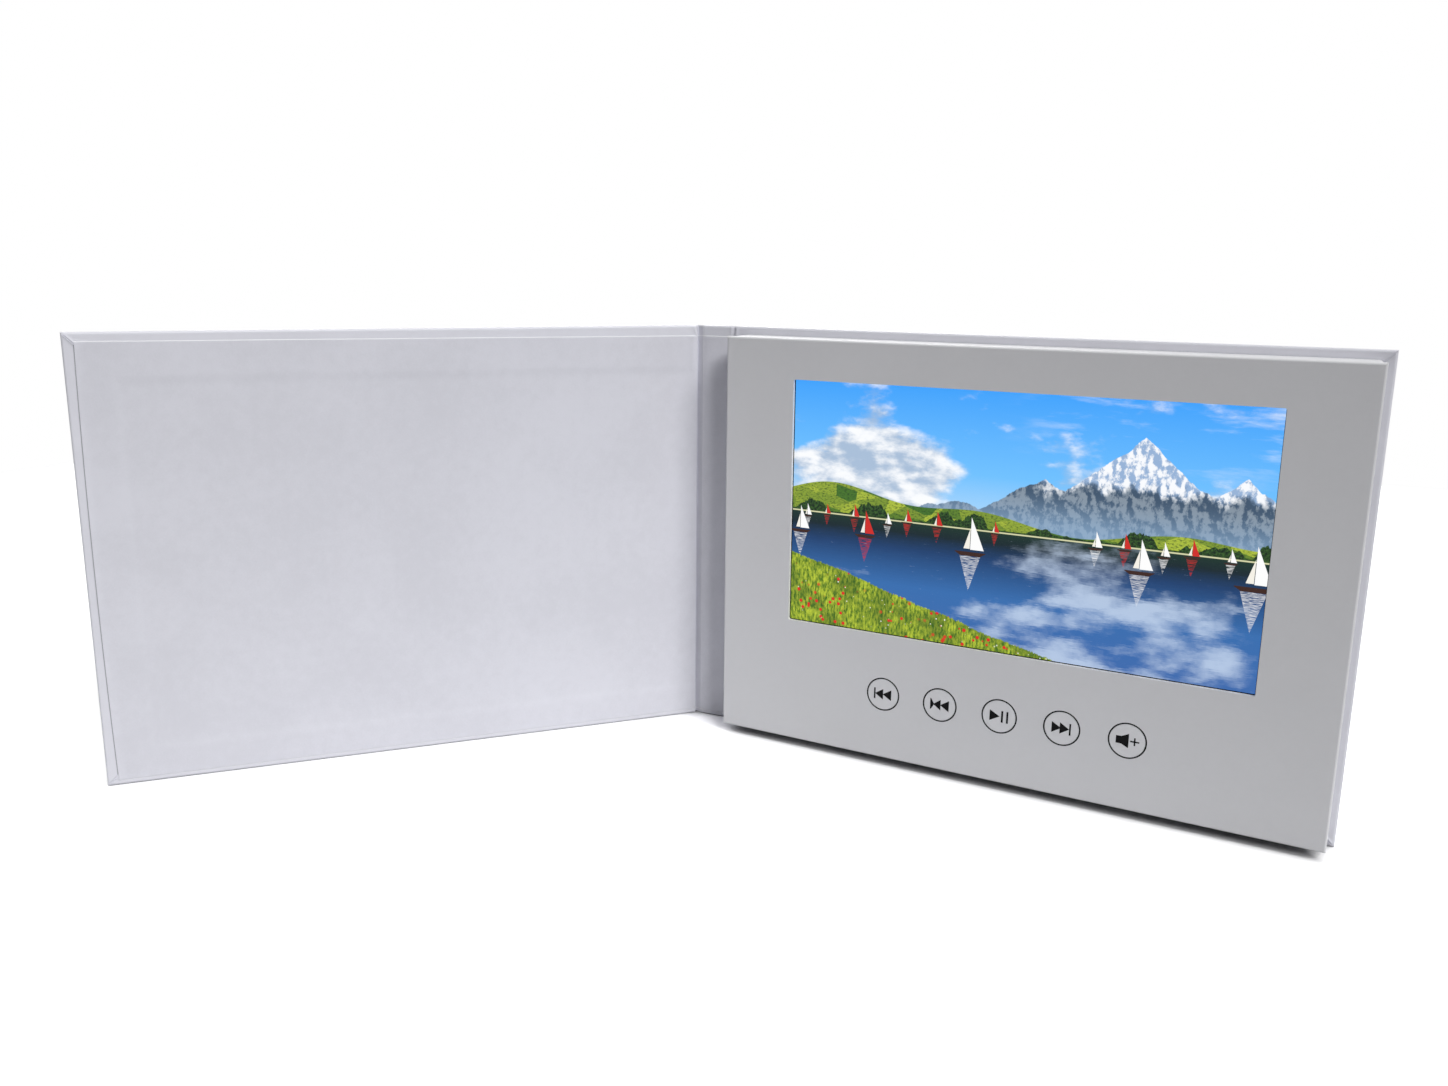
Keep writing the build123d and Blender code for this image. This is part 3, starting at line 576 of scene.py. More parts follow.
finishes = {
    "cover_paper": paperFinish(coverPaper),
    "liner_paper": paperFinish(linerPaper),
    "face_paper": paperFinish(facePaper),
    "button_paper": paperFinish(buttonPaper),
    "greyboard": boardFinish(greyboard),
    "spacer_board": boardFinish(spacerBoard),
    "face_board": boardFinish(faceBoard),
    "adhesive": tapeFinish("adhesive", tint(236, 232, 214), 0.55),
    "battery_tape": tapeFinish("batteryTape", tint(214, 164, 52), 0.25),
    "screen_glass": screenFinish(),
    "pan_steel": metalFinish("panSteel", tint(204, 206, 209), 0.38),
    "socket_steel": metalFinish("socketSteel", tint(214, 214, 214), 0.3, across=(10, 1, 1)),
    "magnet": metalFinish("magnet", tint(196, 196, 198), 0.22),
    "light_guide": guideFinish(),
    "ribbon": ribbonFinish(),
    "circuit_board": circuitFinish(),
    "battery_foil": foilFinish(),
    "wire": wireFinish(),
    "speaker_film": coneFinish(),
    "chip": plasticFinish("chip", tint(40, 40, 43), 0.55),
    "socket_plastic": plasticFinish("socketPlastic", tint(236, 231, 219), 0.45),
    "reed_glass": plasticFinish("reedSleeve", tint(52, 54, 58), 0.35),
    "speaker_plastic": plasticFinish("speakerPlastic", tint(46, 46, 49), 0.5, 0.5 * mm, 0.02 * mm),
    "switch_plastic": plasticFinish("switchPlastic", tint(50, 50, 53), 0.5),
    "stem_plastic": plasticFinish("stemPlastic", tint(232, 228, 217), 0.42),
}
for node in nodes.values():
    node.data.materials[0] = finishes[node.data.materials[0].name]
inkMaterial = inkFinish()
print("finishes:", len(finishes) + 1)


# meshes

def plainObject(name, mesh, finish, angle=35):
    made = bpy.data.objects.new(name, mesh)
    bpy.context.scene.collection.objects.link(made)
    mesh.materials.clear()
    mesh.materials.append(finish)
    mesh.shade_smooth()
    mesh.set_sharp_from_angle(angle=radians(angle))
    return made


def outwards(mesh):
    # makes every face of a closed shell point outwards
    shell = bmesh.new()
    shell.from_mesh(mesh)
    bmesh.ops.remove_doubles(shell, verts=shell.verts, dist=1e-7)
    bmesh.ops.recalc_face_normals(shell, faces=shell.faces)
    shell.to_mesh(mesh)
    shell.free()


def closedSheet(name, front, rear, finish, marks=None, markName="cutEdge"):
    # a thin closed piece from two grids of points, the seen side and the glued side
    # marks are an attribute of the seen side, which the finish reads
    rows, columns = front.shape[:2]
    seen = np.arange(rows * columns).reshape(rows, columns)
    glued = seen + rows * columns
    quads = []
    for grid in (seen, glued):
        corners = [grid[:-1, :-1], grid[:-1, 1:], grid[1:, 1:], grid[1:, :-1]]
        quads.append(np.stack(corners, -1).reshape(-1, 4))
    for edge in (np.s_[0], np.s_[-1], np.s_[:, 0], np.s_[:, -1]):
        line, under = seen[edge], glued[edge]
        quads.append(np.stack([line[:-1], line[1:], under[1:], under[:-1]], -1))
    mesh = bpy.data.meshes.new(name)
    points = np.concatenate([front.reshape(-1, 3), rear.reshape(-1, 3)])
    mesh.from_pydata(points.tolist(), [], np.concatenate(quads).tolist())
    if marks is not None:
        values = np.concatenate([marks.ravel(), marks.ravel() * 0]).astype(np.float32)
        mesh.attributes.new(markName, "FLOAT", "POINT").data.foreach_set("value", values)
    outwards(mesh)
    return plainObject(name, mesh, finish)


def smooth(value, start, end):
    share = np.clip((value - start) / (end - start), 0, 1)
    return share * share * (3 - 2 * share)


def softened(points, rounds=3):
    # cuts the corners of a line again and again; its ends stay
    for turn in range(rounds):
        cut = np.stack([0.75 * points[:-1] + 0.25 * points[1:], 0.25 * points[:-1] + 0.75 * points[1:]], 1)
        points = np.concatenate([points[:1], cut.reshape(-1, points.shape[1]), points[-1:]])
    return points


upwards = np.array([0, 0, 1.0])


class Panel:
    # one board of the case, measured along its inner face from the hinge that it turns on
    def __init__(self, hinge, liner):
        place = joints[hinge]["pos_m"]
        self.hinge = np.array([place[0], place[1], 0.0])
        face = max(nodes[liner].data.polygons, key=lambda polygon: polygon.area)
        normal = np.array([face.normal.x, face.normal.y, 0.0])
        self.inward = normal * (-1 if normal[1] > 0 else 1) / np.linalg.norm(normal)
        along = np.array([self.inward[1], -self.inward[0], 0.0])
        low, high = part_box(liner)
        middle = (np.array(low) + np.array(high)) / 2
        self.along = along * np.sign(np.dot(middle - self.hinge, along))

    def at(self, reach, lift, height):
        reach, lift, height = np.broadcast_arrays(reach, lift, height)
        flat = self.hinge + reach[..., None] * self.along + lift[..., None] * self.inward
        return flat + height[..., None] * upwards

    def span(self, node):
        # lowest and highest reach, lift and height of a node's points
        points = np.array([vertex.co for vertex in nodes[node].data.vertices])
        local = points - self.hinge
        measured = np.stack([local @ self.along, local @ self.inward, points[:, 2]], 1)
        return measured.min(0), measured.max(0)


backPanel = Panel("back_hinge", "back_endpaper")
spinePanel = Panel("back_hinge", "spine_liner")
frontPanel = Panel("front_hinge", "front_endpaper")


# endpapers

case = {
    "turnInHead": 16 * mm, "turnInTail": 12 * mm, "turnInFore": 14.5 * mm,  # under the endpaper
    "sink": 0.24 * mm,  # the front endpaper's drop between the turn-ins
    "sinkHead": 1.4 * mm, "sinkTail": 0.84 * mm, "sinkFore": 0.56 * mm,  # half-widths of its edges
    "paper": 0.2 * mm,  # thickness of the endpaper
    "glued": 0.1 * mm,  # how far a sheet reaches into what it is glued to
    "bevel": 0.45 * mm,  # rounding of its cut edges
    "foreSharpness": 4,  # how many times sharper its fore edge is
    "curl": 0.32 * mm, "curlWidth": 1.0 * mm,  # lift of its fore edge
    "bow": 0.8 * mm, "bowWidth": 20 * mm,  # its fore edge bulges outwards
    "lean": 0.9 * mm,  # how much higher its head is at the fore edge
    "ridge": 0.22 * mm,  # the paper's swell beside the joint
    "ridgeAt": 1.7 * mm, "ridgeWidth": 1.3 * mm, "ridgeLoss": 0.7,
    "crown": 0.1 * mm, "crownStart": 0.4 * mm, "crownEnd": 4 * mm,  # the spine's lining rises
    "dip": 0.17 * mm, "dipWidth": 1.8 * mm,  # and falls into the joints
    "waviness": 0.05 * mm, "calmEdge": 12 * mm,
    "waveAcross": 31 * mm, "waveUp": 27 * mm, "waveStart": 0.8,
    "waveDrift": 38 * mm, "waveSwing": 1.3,
    "step": 1.1 * mm, "nearest": 0.3 * mm,  # between the points of the front endpaper
    "swellSpan": 6 * mm, "swellPoints": 19,  # beside the joint they lie closer
    "spinePoints": 33, "spineStep": 4 * mm,
}


def gridLine(start, end, step, fine):
    # places along one way of a grid, close together at both ends
    count = max(2, int(round((end - start - 2 * fine[-1]) / step)))
    inner = np.linspace(start + fine[-1], end - fine[-1], count + 1)
    near = [start + place for place in fine[:-1]]
    far = [end - place for place in reversed(fine[:-1])]
    return np.array(near + list(inner) + far)


edgeSteps = [share * case["bevel"] for share in (0, 0.06, 0.15, 0.25, 0.6, 1.0, 2.0, 4.0)]


def edgeFall(distance):
    # the rounded drop of a cut edge, 0 on the sheet and 1 at the cut
    share = np.clip(1 - distance / case["bevel"], 0, 1)
    return 1 - np.sqrt(1 - share ** 2)


def bareFibres(fall):
    # where a cut edge shows its fibres, for the mark that the finish reads
    return smooth(fall, 0.05, 0.5)


def frontSwell(distance, sunk=0.0):
    # the endpaper's height near the joint, from the board's edge; sunk is 1 where no turn-in lies under it
    ridge = case["ridge"] * np.exp(-((distance - case["ridgeAt"]) / case["ridgeWidth"]) ** 2)
    return ridge * (1 - case["ridgeLoss"] * sunk) - case["sink"] * sunk


def spineSwell(distance, sunk=0.0):
    # the spine's lining is crowned and rolls down into the joints on both sides
    crown = case["crown"] * smooth(distance, case["crownStart"], case["crownEnd"])
    return crown - case["dip"] * (1 - smooth(distance, 0, case["dipWidth"]))


def betweenTurnIns(z):
    # 1 between the turn-ins at head and tail, 0 over them
    low, high = frontPanel.span("front_cover_wrap")
    head = smooth(high[2] - case["turnInHead"] - z, -case["sinkHead"], case["sinkHead"])
    return head * smooth(z - low[2] - case["turnInTail"], -case["sinkTail"], case["sinkTail"])


def bowOf(z, foot, head):
    # how far the endpaper's fore edge bulges outwards
    return case["bow"] * (1 - ((z - foot) / (head - foot) * 2 - 1) ** 2)


def frontLiner():
    low, high = frontPanel.span("front_endpaper")
    wrapHigh = frontPanel.span("front_cover_wrap")[1]
    swellSteps = low[0] + np.linspace(0, case["swellSpan"], case["swellPoints"])
    reach = gridLine(low[0], high[0], case["step"], edgeSteps)
    reach = np.unique(np.concatenate([swellSteps, reach[reach > swellSteps[-1] + case["nearest"]]]))
    height = gridLine(low[2], high[2], case["step"], edgeSteps)
    u, z = np.meshgrid(reach, height)
    fore = smooth(wrapHigh[0] - case["turnInFore"] - u, -case["sinkFore"], case["sinkFore"])
    lift = frontSwell(u - low[0], fore * betweenTurnIns(z))
    lift += case["curl"] * np.exp(-((high[0] - u) / case["curlWidth"]) ** 2)
    waves = np.sin(u / case["waveAcross"] + case["waveSwing"] * np.sin(z / case["waveDrift"]))
    waves = waves * np.sin(z / case["waveUp"] + case["waveStart"])
    calm = smooth(high[0] - u, 0, case["calmEdge"]) * smooth(u - low[0], 0, case["calmEdge"])
    lift += case["waviness"] * waves * calm
    distance = np.minimum.reduce([case["foreSharpness"] * (high[0] - u), z - low[2], high[2] - z])
    fall = edgeFall(distance)
    bow = bowOf(z, low[2], high[2]) * smooth(u, high[0] - case["bowWidth"], high[0])
    z = z + case["lean"] * (u - low[0]) / (high[0] - low[0]) * (z - low[2]) / (high[2] - low[2])
    front = frontPanel.at(u + bow, lift - (case["paper"] + lift) * fall, z)
    rear = frontPanel.at(u + bow, -case["paper"] - case["glued"], z)
    made = closedSheet("frontLiner", front, rear, finishes["liner_paper"], bareFibres(fall))
    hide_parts("front_endpaper")
    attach(made, "front_cover")


def spineLining():
    low, high = spinePanel.span("spine_liner")
    reach = np.linspace(low[0], high[0], case["spinePoints"])
    height = gridLine(low[2], high[2], case["spineStep"], edgeSteps)
    u, z = np.meshgrid(reach, height)
    lift = spineSwell(np.minimum(u - low[0], high[0] - u))
    fall = edgeFall(np.minimum(z - low[2], high[2] - z))
    front = spinePanel.at(u, lift - (case["paper"] + lift) * fall, z)
    rear = spinePanel.at(u, -case["paper"] - case["glued"], z)
    made = closedSheet("spineLining", front, rear, finishes["liner_paper"], bareFibres(fall))
    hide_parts("spine_liner")
    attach(made, "spine")


frontLiner()
spineLining()
print("endpapers")


# joints between the boards, where the wrap and the endpaper are glued together and bend

joint = {
    "lap": 1.1 * mm, "lapAtEnd": 0.45 * mm,  # how far the strip runs onto each board
    "proud": 0.01 * mm, "slope": 0.02,  # the laps lie a hair over the endpapers and tilt a little
    "thickness": 0.75 * mm,
    "roll": 0.7 * mm, "rollDepth": 0.9,  # rounding of its ends, down to this share of the thickness
    "widens": (0.3, 1.5),  # where the laps reach their full width, in such roundings
    "rows": 40, "rowsFrom": 2 * mm,  # of points between the endpapers' edges
    "past": 0.03 * mm,  # a row of points just outside the endpapers' cut edges
    "roundness": 1.05,  # of the groove's far side
    # where the groove is deepest, from 0 at its left edge to 1 at its right, and how deep, first between the
    # endpapers and then in the margins
    "front": ((0.02, 2.0 * mm), (0.1, 1.7 * mm)),
    "back": ((0.55, 0.6 * mm), (0.55, 0.5 * mm)),
}
# where the strip's points lie, in shares of a lap, of the groove's near and far side, and of an end's roll
lapShares = np.array([1, 0.75, 0.5, 0.25, 0])
nearShares = np.array([0.4, 0.8, 1])
farShares = np.array([0.15, 0.4, 0.65, 0.9])
endShares = np.array([0.04, 0.1, 0.25, 0.5, 0.8, 1.1, 1.5])


def gutterStrip(side, sides):
    # sides are two of panel, board's edge and the endpaper's swell from that edge
    liner = spinePanel.span("spine_liner")
    wrap = spinePanel.span("spine_wrap")
    thick, roll, paper = joint["thickness"], joint["roll"], case["paper"]
    first, second = (panel.at(edge, 0.0, 0.0) for panel, edge, swell in sides)
    chord = second - first
    down = np.array([-chord[1], chord[0], 0.0]) / np.linalg.norm(chord)
    down = down * np.sign(down[1])

    def section(groove, lift, lap, swelling, sunk=0.0):
        # points across the strip, from one board's lap over the groove to the other's
        crease, depth = groove
        laps = []
        for panel, edge, swell in sides:
            way = np.sign(panel.along @ (panel.at(edge, 0.0, 0.0) - (first + second) / 2))
            points = []
            for place in lap * lapShares:
                rise = swelling * swell(place, sunk) + lift + joint["proud"] - joint["slope"] * place
                points.append(panel.at(edge + way * place, rise, 0.0))
            laps.append(points)
        bed = []
        for place in (*(crease * nearShares), *(crease + (1 - crease) * farShares)):
            fall = min(place / crease, ((1 - place) / (1 - crease)) ** joint["roundness"])
            bed.append(laps[0][-1] * (1 - place) + laps[1][-1] * place + down * depth * fall)
        return softened(np.array(laps[0] + bed + laps[1][::-1]), 2)

    between, margin = joint[side]
    lined = section(between, 0.0, joint["lap"], 1)
    sunken = section(between, 0.0, joint["lap"], 1, 1.0)
    bare = section(margin, -paper, joint["lap"], 0)
    narrow = section(margin, -paper, joint["lapAtEnd"], 0)
    rear = section(between, -paper - thick, joint["lapAtEnd"], 0)
    ends, steps = roll * endShares, np.array(edgeSteps)
    height = np.unique(np.concatenate([
        wrap[0][2] + ends, liner[0][2] + steps, [liner[0][2] - joint["past"]],
        np.linspace(liner[0][2] + joint["rowsFrom"], liner[1][2] - joint["rowsFrom"], joint["rows"]),
        [liner[1][2] + joint["past"]], liner[1][2] - steps, wrap[1][2] - ends,
    ]))
    inside = np.minimum(height - liner[0][2], liner[1][2] - height)
    fall = np.where(inside < 0, 1, edgeFall(np.maximum(inside, 0)))[:, None, None]
    sunk = betweenTurnIns(height)[:, None, None]
    toEnd = np.minimum(height - wrap[0][2], wrap[1][2] - height)[:, None, None]
    wide = smooth(toEnd, *(share * roll for share in joint["widens"]))
    front = (lined[None] * (1 - sunk) + sunken[None] * sunk) * (1 - fall)
    front = front + (bare[None] * wide + narrow[None] * (1 - wide)) * fall
    share = np.clip(1 - toEnd / roll, 0, 1)
    turned = np.minimum(roll / thick * (1 - np.sqrt(1 - share ** 2)), joint["rollDepth"])
    front = front + (rear[None] - front) * turned + height[:, None, None] * upwards
    back = rear[None] + height[:, None, None] * upwards
    covered = (inside > -joint["past"] / 2)[:, None]
    cut = (bareFibres(fall[..., 0]) * covered) * np.ones(len(lined))
    made = closedSheet(side + "Joint", front, back, finishes["liner_paper"], cut)
    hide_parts(side + "_gutter")
    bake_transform(made)


def noSwell(distance, sunk=0.0):
    # the back cover's endpaper, which the module holds down
    return 0.0


spineLow, spineHigh = spinePanel.span("spine_liner")
frontLow = frontPanel.span("front_endpaper")[0]
backLow = backPanel.span("back_endpaper")[0]
frontJointSides = ((frontPanel, frontLow[0], frontSwell), (spinePanel, spineHigh[0], spineSwell))
backJointSides = ((spinePanel, spineLow[0], spineSwell), (backPanel, backLow[0], noSwell))
gutterStrip("front", frontJointSides)
gutterStrip("back", backJointSides)
print("joints between the boards")


# turn-ins of the wrap round the endpapers, mitred at the fore corners

turnIn = {
    "edgeRadius": 0.7 * mm,  # rounding of the wrapped boards, where a turn-in starts
    "proud": 0.03 * mm,  # height over the solid wrap
    "under": 0.3 * mm,  # reach under the endpaper, past its bevel
    "lip": 0.26 * mm, "lipWidth": 0.6 * mm,  # how far a cut or folded edge stands up
    "mitreGap": 0.5 * mm,
    "foldAt": 0.45 * mm,  # from the edge at the joint to its lip
    "earAt": 1.3 * mm, "earWidth": 0.3 * mm,  # a small fold beside the head's mitre
    "earHeight": 1.2 * mm, "earTaper": 3,
    "seam": 0.22 * mm,  # width of the painted shade line along the endpaper and the mitres
    "onBoard": 0.2 * mm,  # from the board's edge to its start under the endpaper
    # where the turn-ins start at the joint, from the board's edge, and how far their corners are cut back
    "front": (-0.2 * mm, 1.3 * mm), "back": (-0.5 * mm, 0.5 * mm),
}
# where the points of a turn-in lie, in shares of its length and of its width
alongStep = 0.02
alongSteps = [0, 0.001, 0.002, 0.003, 0.0045, 0.006, 0.009, 0.014]
acrossSteps = np.concatenate([np.linspace(0, 0.5, 13), np.linspace(0.6, 1, 5)])


def patch(name, panel, corner, lipEnds, seam, body):
    # corner(s, t) gives reach and height; s runs along the flap, t across it
    s, t = np.meshgrid(gridLine(0.0, 1.0, alongStep, alongSteps), acrossSteps)
    u, z = corner(s, t)
    lift = -case["paper"] + turnIn["proud"]
    for distance in lipEnds(u, z):
        lift = lift + turnIn["lip"] * np.exp(-(np.maximum(distance, 0) / turnIn["lipWidth"]) ** 2)
    front = panel.at(u, lift, z)
    rear = panel.at(u, -case["paper"] - case["glued"], z)
    # the mark given here is painted shade along edges that lie on another sheet
    made = closedSheet(name, front, rear, finishes["cover_paper"], seam(u, z), "seam")
    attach(made, body)


def turnIns(side):
    panel = {"front": frontPanel, "back": backPanel}[side]
    low, high = panel.span(side + "_cover_wrap")
    linerLow, linerHigh = panel.span(side + "_endpaper")
    fore, head, tail = high[0], high[2], low[2]
    radius = turnIn["edgeRadius"]
    under = case["bevel"] + turnIn["under"]
    gap = turnIn["mitreGap"] / 2 ** 0.5
    start, skew = low[0] + turnIn[side][0], turnIn[side][1]

    def headSlant(z):
        return start + skew * np.clip((z - linerHigh[2]) / (head - linerHigh[2]), 0, 1)

    def tailSlant(z):
        return start + skew * np.clip((linerLow[2] - z) / (linerLow[2] - tail), 0, 1)

    def drawnIn(slant, covered):
        # a turn-in starts on the board where the endpaper covers it
        return np.where(covered, np.maximum(slant, low[0] + turnIn["onBoard"]), slant)

    def alongHead(s, t):
        z = linerHigh[2] - under + t * (head - radius - linerHigh[2] + under)
        begin = drawnIn(headSlant(z), z < linerHigh[2])
        return begin + s * (fore - (head - z) - gap - begin), z

    def alongTail(s, t):
        z = tail + radius + t * (linerLow[2] + under - tail - radius)
        begin = drawnIn(tailSlant(z), z > linerLow[2])
        return begin + s * (fore - (z - tail) - gap - begin), z

    def alongFore(s, t):
        u = linerHigh[0] - under + t * (fore - radius - linerHigh[0] + under)
        foot, top = tail + (fore - u) + gap, head - (fore - u) - gap
        return u, foot + s * (top - foot)

    def headLip(u, z):
        mitre = (fore - (head - z) - u) / 2 ** 0.5
        taper = turnIn["earTaper"] * np.maximum(z - linerHigh[2] - turnIn["earHeight"], 0)
        ear = abs(mitre - turnIn["earAt"]) + turnIn["earWidth"] + taper
        return [mitre, abs(u - headSlant(z) - turnIn["foldAt"]), ear]

    def tailLip(u, z):
        return [(fore - (z - tail) - u) / 2 ** 0.5, abs(u - tailSlant(z) - turnIn["foldAt"])]

    def foreLips(u, z):
        return [(head - (fore - u) - z) / 2 ** 0.5, (z - tail - (fore - u)) / 2 ** 0.5]

    def plain(u, z):
        return 0 * u

    def foreSeamShade(u, z):
        # painted shade along the endpaper's fore edge and along both mitres, where their contact shadows fall
        edge = linerHigh[0] + bowOf(z, linerLow[2], linerHigh[2]) * (side == "front")
        lines = [u - edge, *foreLips(u, z)]
        return np.maximum.reduce([np.exp(-(np.maximum(line, 0) / turnIn["seam"]) ** 2) for line in lines])

    body = side + "_cover"
    patch(side + "TurnInHead", panel, alongHead, headLip, plain, body)
    patch(side + "TurnInTail", panel, alongTail, tailLip, plain, body)
    patch(side + "TurnInFore", panel, alongFore, foreLips, foreSeamShade, body)


turnIns("front")
turnIns("back")
print("turn-ins")


# printed rings and symbols

printing = {
    "ringRadius": 5.75 * mm, "ringSides": 96, "line": 0.42 * mm, "film": 0.03 * mm,
    "raise": 0.3,  # of a ring's middle, as a share of its film
    "sunk": 0.01 * mm,  # the symbols' foot
    "stagger": 0.15,  # each next shape's film is thicker by this share, so no two share a plane
}
buttons = ["skip_back", "rewind", "play", "skip_forward", "volume"]


def middleOf(node):
    low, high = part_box(node)
    return (low + high) / 2


def ringTree():
    tree = bpy.data.node_groups.new("buttonRings", "GeometryNodeTree")
    tree.is_modifier = True
    wanted = {
        "Count": "Int", "Pitch": "Float", "Radius": "Float", "Line": "Float", "Film": "Float",
        "First": "Vector", "Ink": "Material",
    }
    sockets = {}
    for name, kind in wanted.items():
        sockets[name] = tree.interface.new_socket(name, in_out="INPUT", socket_type="NodeSocket" + kind)
    tree.interface.new_socket("Geometry", in_out="OUTPUT", socket_type="NodeSocketGeometry")
    graph = Graph(tree)
    given = {name: graph.node("NodeGroupInput", None, None, name) for name in sockets}
    step = graph.node("ShaderNodeCombineXYZ", None, {0: given["Pitch"]})
    row = {"Count": given["Count"], "Start Location": given["First"], "Offset": step}
    points = graph.node("GeometryNodeMeshLine", None, row)
    path = {"Resolution": printing["ringSides"], "Radius": given["Radius"]}
    circle = graph.node("GeometryNodeCurvePrimitiveCircle", None, path)
    band = {"Width": given["Line"], "Height": given["Film"]}
    section = graph.node("GeometryNodeCurvePrimitiveQuadrilateral", None, band)
    ring = graph.node("GeometryNodeCurveToMesh", None, {"Curve": circle, "Profile Curve": section})
    upright = graph.node("GeometryNodeTransform", None, {"Geometry": ring, "Rotation": (pi / 2, 0, 0)})
    rings = graph.node("GeometryNodeInstanceOnPoints", None, {"Points": points, "Instance": upright})
    real = graph.node("GeometryNodeRealizeInstances", None, {"Geometry": rings})
    inked = graph.node("GeometryNodeSetMaterial", None, {"Geometry": real, "Material": given["Ink"]})
    graph.node("NodeGroupOutput", None, {"Geometry": inked})
    return tree, {name: socket.identifier for name, socket in sockets.items()}


def grown(name, tree, identifiers, values, finish):
    # runs a Geometry Nodes tree and keeps its result as a plain mesh
    seed = bpy.data.objects.new(name + "Seed", bpy.data.meshes.new(name + "Seed"))
    bpy.context.scene.collection.objects.link(seed)
    modifier = seed.modifiers.new("grow", "NODES")
    modifier.node_group = tree
    for key, value in values.items():
        modifier[identifiers[key]] = value
    evaluated = seed.evaluated_get(bpy.context.evaluated_depsgraph_get())
    mesh = bpy.data.meshes.new_from_object(evaluated)
    mesh.name = name
    bpy.data.objects.remove(seed)
    outwards(mesh)
    return plainObject(name, mesh, finish)


def buttonRings():
    tree, identifiers = ringTree()
    centres = [middleOf(name + "_button") for name in buttons]
    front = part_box("face_paper")[0].y - printing["raise"] * printing["film"]
    values = {
        "Count": len(buttons), "Pitch": centres[1].x - centres[0].x, "Radius": printing["ringRadius"],
        "Line": printing["line"], "Film": printing["film"],
        "First": (centres[0].x, front, centres[0].z), "Ink": inkMaterial,
    }
    made = grown("buttonRings", tree, identifiers, values, inkMaterial)
    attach(made, "back_cover")


def bar(left, right, half):
    return [(left, -half), (right, -half), (right, half), (left, half)]


def arrow(base, tip, half):
    return [(base, -half), (tip, 0), (base, half)]


# outlines in millimetres from each button's middle
symbols = {
    "skip_back": [bar(-3.32, -2.78, 1.98), arrow(0.02, -2.9, 1.9), arrow(3.02, -0.1, 1.95)],
    "rewind": [
        [(-3.35, -2.05), (-2.95, -1.75), (-1.95, 0), (-2.95, 1.75), (-3.35, 2.05)],
        arrow(0.3, -2.3, 1.9), arrow(3.2, 0.15, 1.95),
    ],
    "play": [arrow(-3.2, 0.15, 1.88), bar(0.68, 1.3, 2.02), bar(2.4, 3.02, 2.02)],
    "skip_forward": [arrow(-3.2, -0.2, 1.85), arrow(-0.6, 2.4, 1.95), bar(2.42, 2.95, 2.0)],
    "volume": [
        [(-3.5, -1.25), (-1.85, -1.25), (0.4, -2.4), (0.4, 2.4), (-1.85, 1.25), (-3.5, 1.25)],
        bar(0.85, 3.65, 0.23), bar(2.02, 2.48, 1.3),
    ],
}


def symbolOn(button):
    first, *rest = button.split("_")
    name = first + "".join(word.capitalize() for word in rest) + "Symbol"
    middle = middleOf(button + "_button")
    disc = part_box(button + "_button")[0].y
    points, faces = [], []
    for rank, outline in enumerate(symbols[button]):
        film = printing["film"] * (1 + printing["stagger"] * rank)
        for y in (disc + printing["sunk"], disc - film):
            points += [(middle.x + x * mm, y, middle.z + z * mm) for x, z in outline]
        count = len(outline)
        top = list(range(len(points) - count, len(points)))
        faces += [top, [corner - count for corner in top]]
        faces += [[one, two, two - count, one - count] for one, two in zip(top, top[1:] + top[:1])]
    mesh = bpy.data.meshes.new(name)
    mesh.from_pydata(points, [], faces)
    outwards(mesh)
    made = plainObject(name, mesh, inkMaterial)
    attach(made, button + "_button")


buttonRings()
for button in buttons:
    symbolOn(button)
print("rings and symbols")


# floor, light and camera

studio = {
    "floorSize": 1.6, "floorColour": (0.66, 0.66, 0.665, 1), "floorWhite": (1.5, 1.5, 1.5, 1),
    "grain": 3 * mm, "grainShade": 0.02,
    "contact": 9 * mm, "contactColour": (0.3, 0.3, 0.31, 1),  # the shade where the part stands
    "contactFrom": 0.15, "contactTo": 0.75,
    "poolMiddle": (-0.05, -0.17, 0.0),  # the floor throws light back round here
    "poolFrom": 0.16, "poolTo": 0.38,
    "world": 0.05, "worldColour": (0.97, 0.985, 1.0, 1), "horizon": 0.03,
    # where each lamp shines from, its strength, its softness in degrees
    "lamps": (
        ((0.72, -0.26, 0.75), 1.25, 22),
        ((0.75, -0.60, 0.60), 1.05, 14),
        ((0.10, 0.08, 0.99), 0.82, 30),
        ((-0.50, 0.80, 0.25), 1.6, 40),
    ),
}
view = {
    "place": (104.97 * mm, -391.48 * mm, 172.65 * mm), "heading": 29.69, "down": 12.454, "roll": 0.426,
    "lens": 30.06, "shift": (0.0140, -0.0091), "nearest": 10 * mm,
}


def seenRays(graph):
    # 1 for rays that show the surroundings as they look, 0 for those that light the object
    rays = [f"Is {kind} Ray" for kind in ("Camera", "Glossy", "Transmission")]
    seen, glossy, passing = [graph.node("ShaderNodeLightPath", None, None, ray) for ray in rays]
    return seen.most(glossy).most(passing)


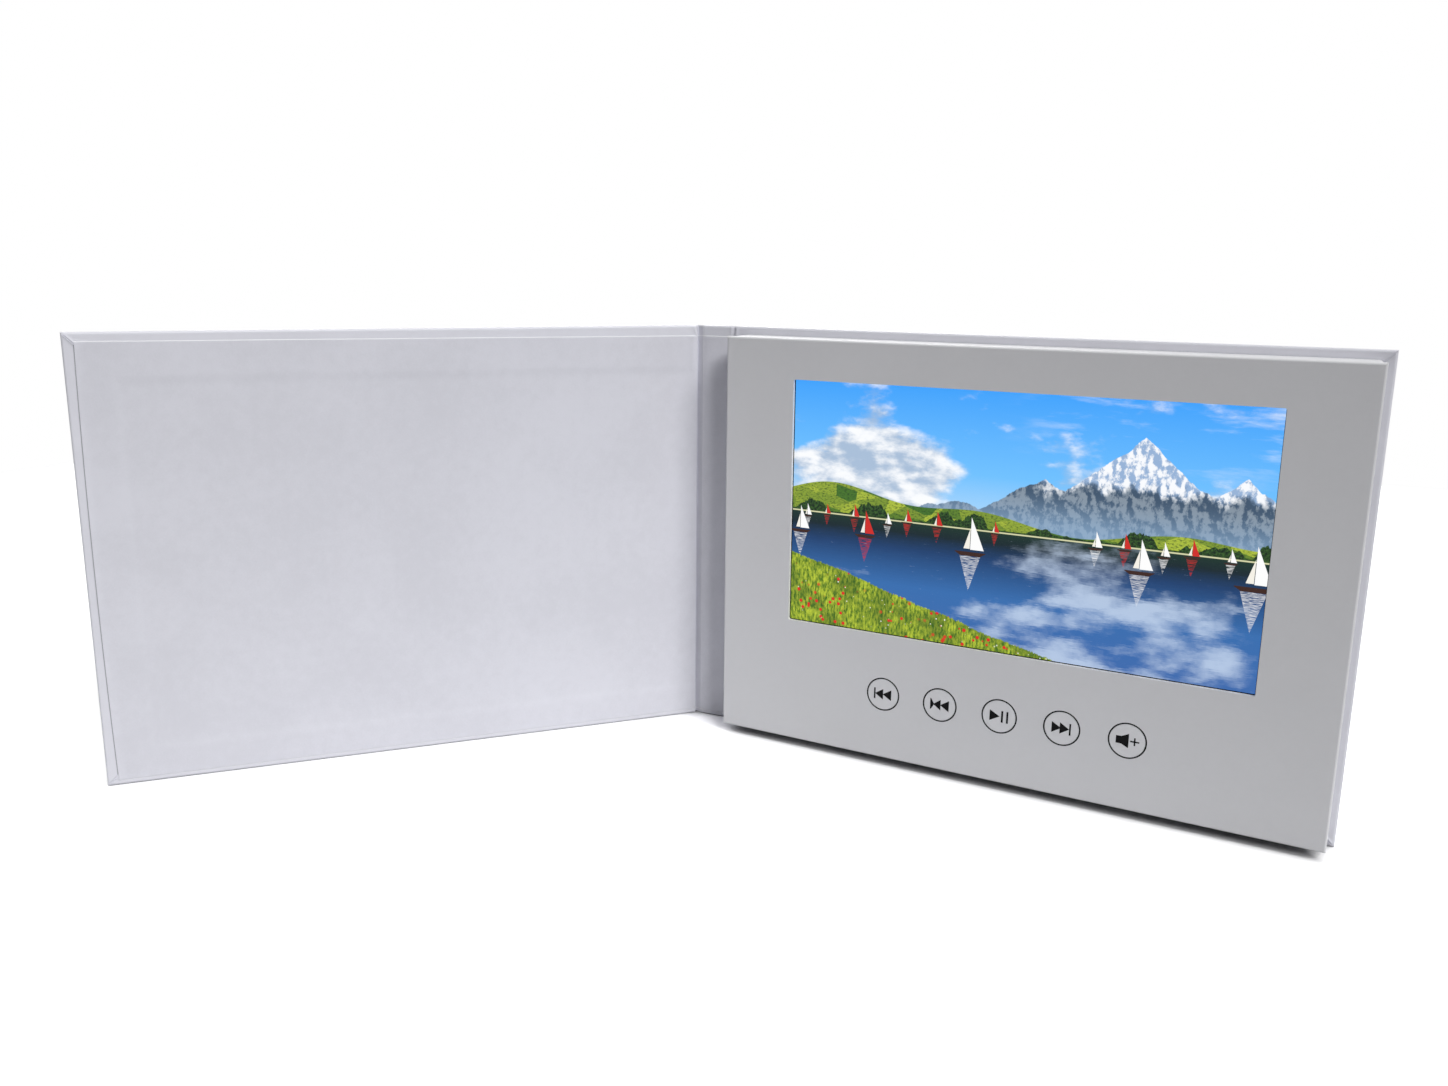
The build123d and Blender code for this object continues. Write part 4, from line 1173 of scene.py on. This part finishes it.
def floorUnder():
    half = studio["floorSize"] / 2
    middle = Vector((cadBox[0][0] + cadBox[1][0], cadBox[0][1] + cadBox[1][1], 0)) / 2
    corners = [(middle.x + x * half, middle.y + y * half, 0) for x, y in ((-1, -1), (1, -1), (1, 1), (-1, 1))]
    mesh = bpy.data.meshes.new("floor")
    mesh.from_pydata(corners, [], [(0, 1, 2, 3)])
    finish = Finish("floor")
    place = finish.place()
    grain = finish.noise(place, studio["grain"], 2.0)
    pale = finish.mix(grain, studio["floorColour"], shaded(studio["floorColour"], studio["grainShade"]))
    ends = {0: place, 1: studio["poolMiddle"]}
    away = finish.node("ShaderNodeVectorMath", {"operation": "DISTANCE"}, ends, "Value")
    pool = finish.mix(finish.rise(away, studio["poolFrom"], studio["poolTo"]), pale, (0, 0, 0, 1))
    plain = finish.node("ShaderNodeBsdfDiffuse", None, {"Color": pool})
    near = finish.node("ShaderNodeAmbientOcclusion", {"samples": 8}, {"Distance": studio["contact"]}, "AO")
    clear = finish.rise(near, studio["contactFrom"], studio["contactTo"])
    white = finish.mix(clear, studio["contactColour"], studio["floorWhite"])
    bright = finish.node("ShaderNodeBsdfDiffuse", None, {"Color": white})
    both = finish.node("ShaderNodeMixShader", None, {0: seenRays(finish), 1: plain, 2: bright})
    finish.node("ShaderNodeOutputMaterial", None, {"Surface": both})
    made = bpy.data.objects.new("floor", mesh)
    mesh.materials.append(finish.material)
    bpy.context.scene.collection.objects.link(made)


def light():
    world = bpy.data.worlds.new("studio")
    bpy.context.scene.world = world
    world.use_nodes = True
    world.node_tree.nodes.clear()
    graph = Graph(world.node_tree)
    up = graph.axes(graph.node("ShaderNodeTexCoord", output="Generated"))[2]
    strength = graph.rise(up, -studio["horizon"], studio["horizon"]) * studio["world"]
    dim = graph.node("ShaderNodeBackground", None, {"Color": studio["worldColour"], "Strength": strength})
    white = graph.node("ShaderNodeBackground", None, {"Color": (1, 1, 1, 1), "Strength": 1.0})
    both = graph.node("ShaderNodeMixShader", None, {0: seenRays(graph), 1: dim, 2: white})
    graph.node("ShaderNodeOutputWorld", None, {"Surface": both})
    for rank, (direction, energy, softness) in enumerate(studio["lamps"]):
        lamp = bpy.data.lights.new(f"lamp{rank}", "SUN")
        lamp.energy = energy
        lamp.angle = radians(softness)
        made = bpy.data.objects.new(f"lamp{rank}", lamp)
        made.rotation_euler = Vector(direction).to_track_quat("Z", "Y").to_euler()
        bpy.context.scene.collection.objects.link(made)


def camera():
    lens = bpy.data.cameras.new("camera")
    lens.lens = view["lens"]
    lens.shift_x, lens.shift_y = view["shift"]
    lens.clip_start = view["nearest"]
    made = bpy.data.objects.new("camera", lens)
    heading = Matrix.Rotation(radians(view["heading"]), 4, "Z")
    tilt = Matrix.Rotation(pi / 2 - radians(view["down"]), 4, "X")
    roll = Matrix.Rotation(radians(view["roll"]), 4, "Z")
    made.matrix_world = Matrix.Translation(view["place"]) @ heading @ tilt @ roll
    bpy.context.scene.collection.objects.link(made)
    bpy.context.scene.camera = made


floorUnder()
light()
camera()
bpy.context.scene.view_settings.view_transform = "Standard"
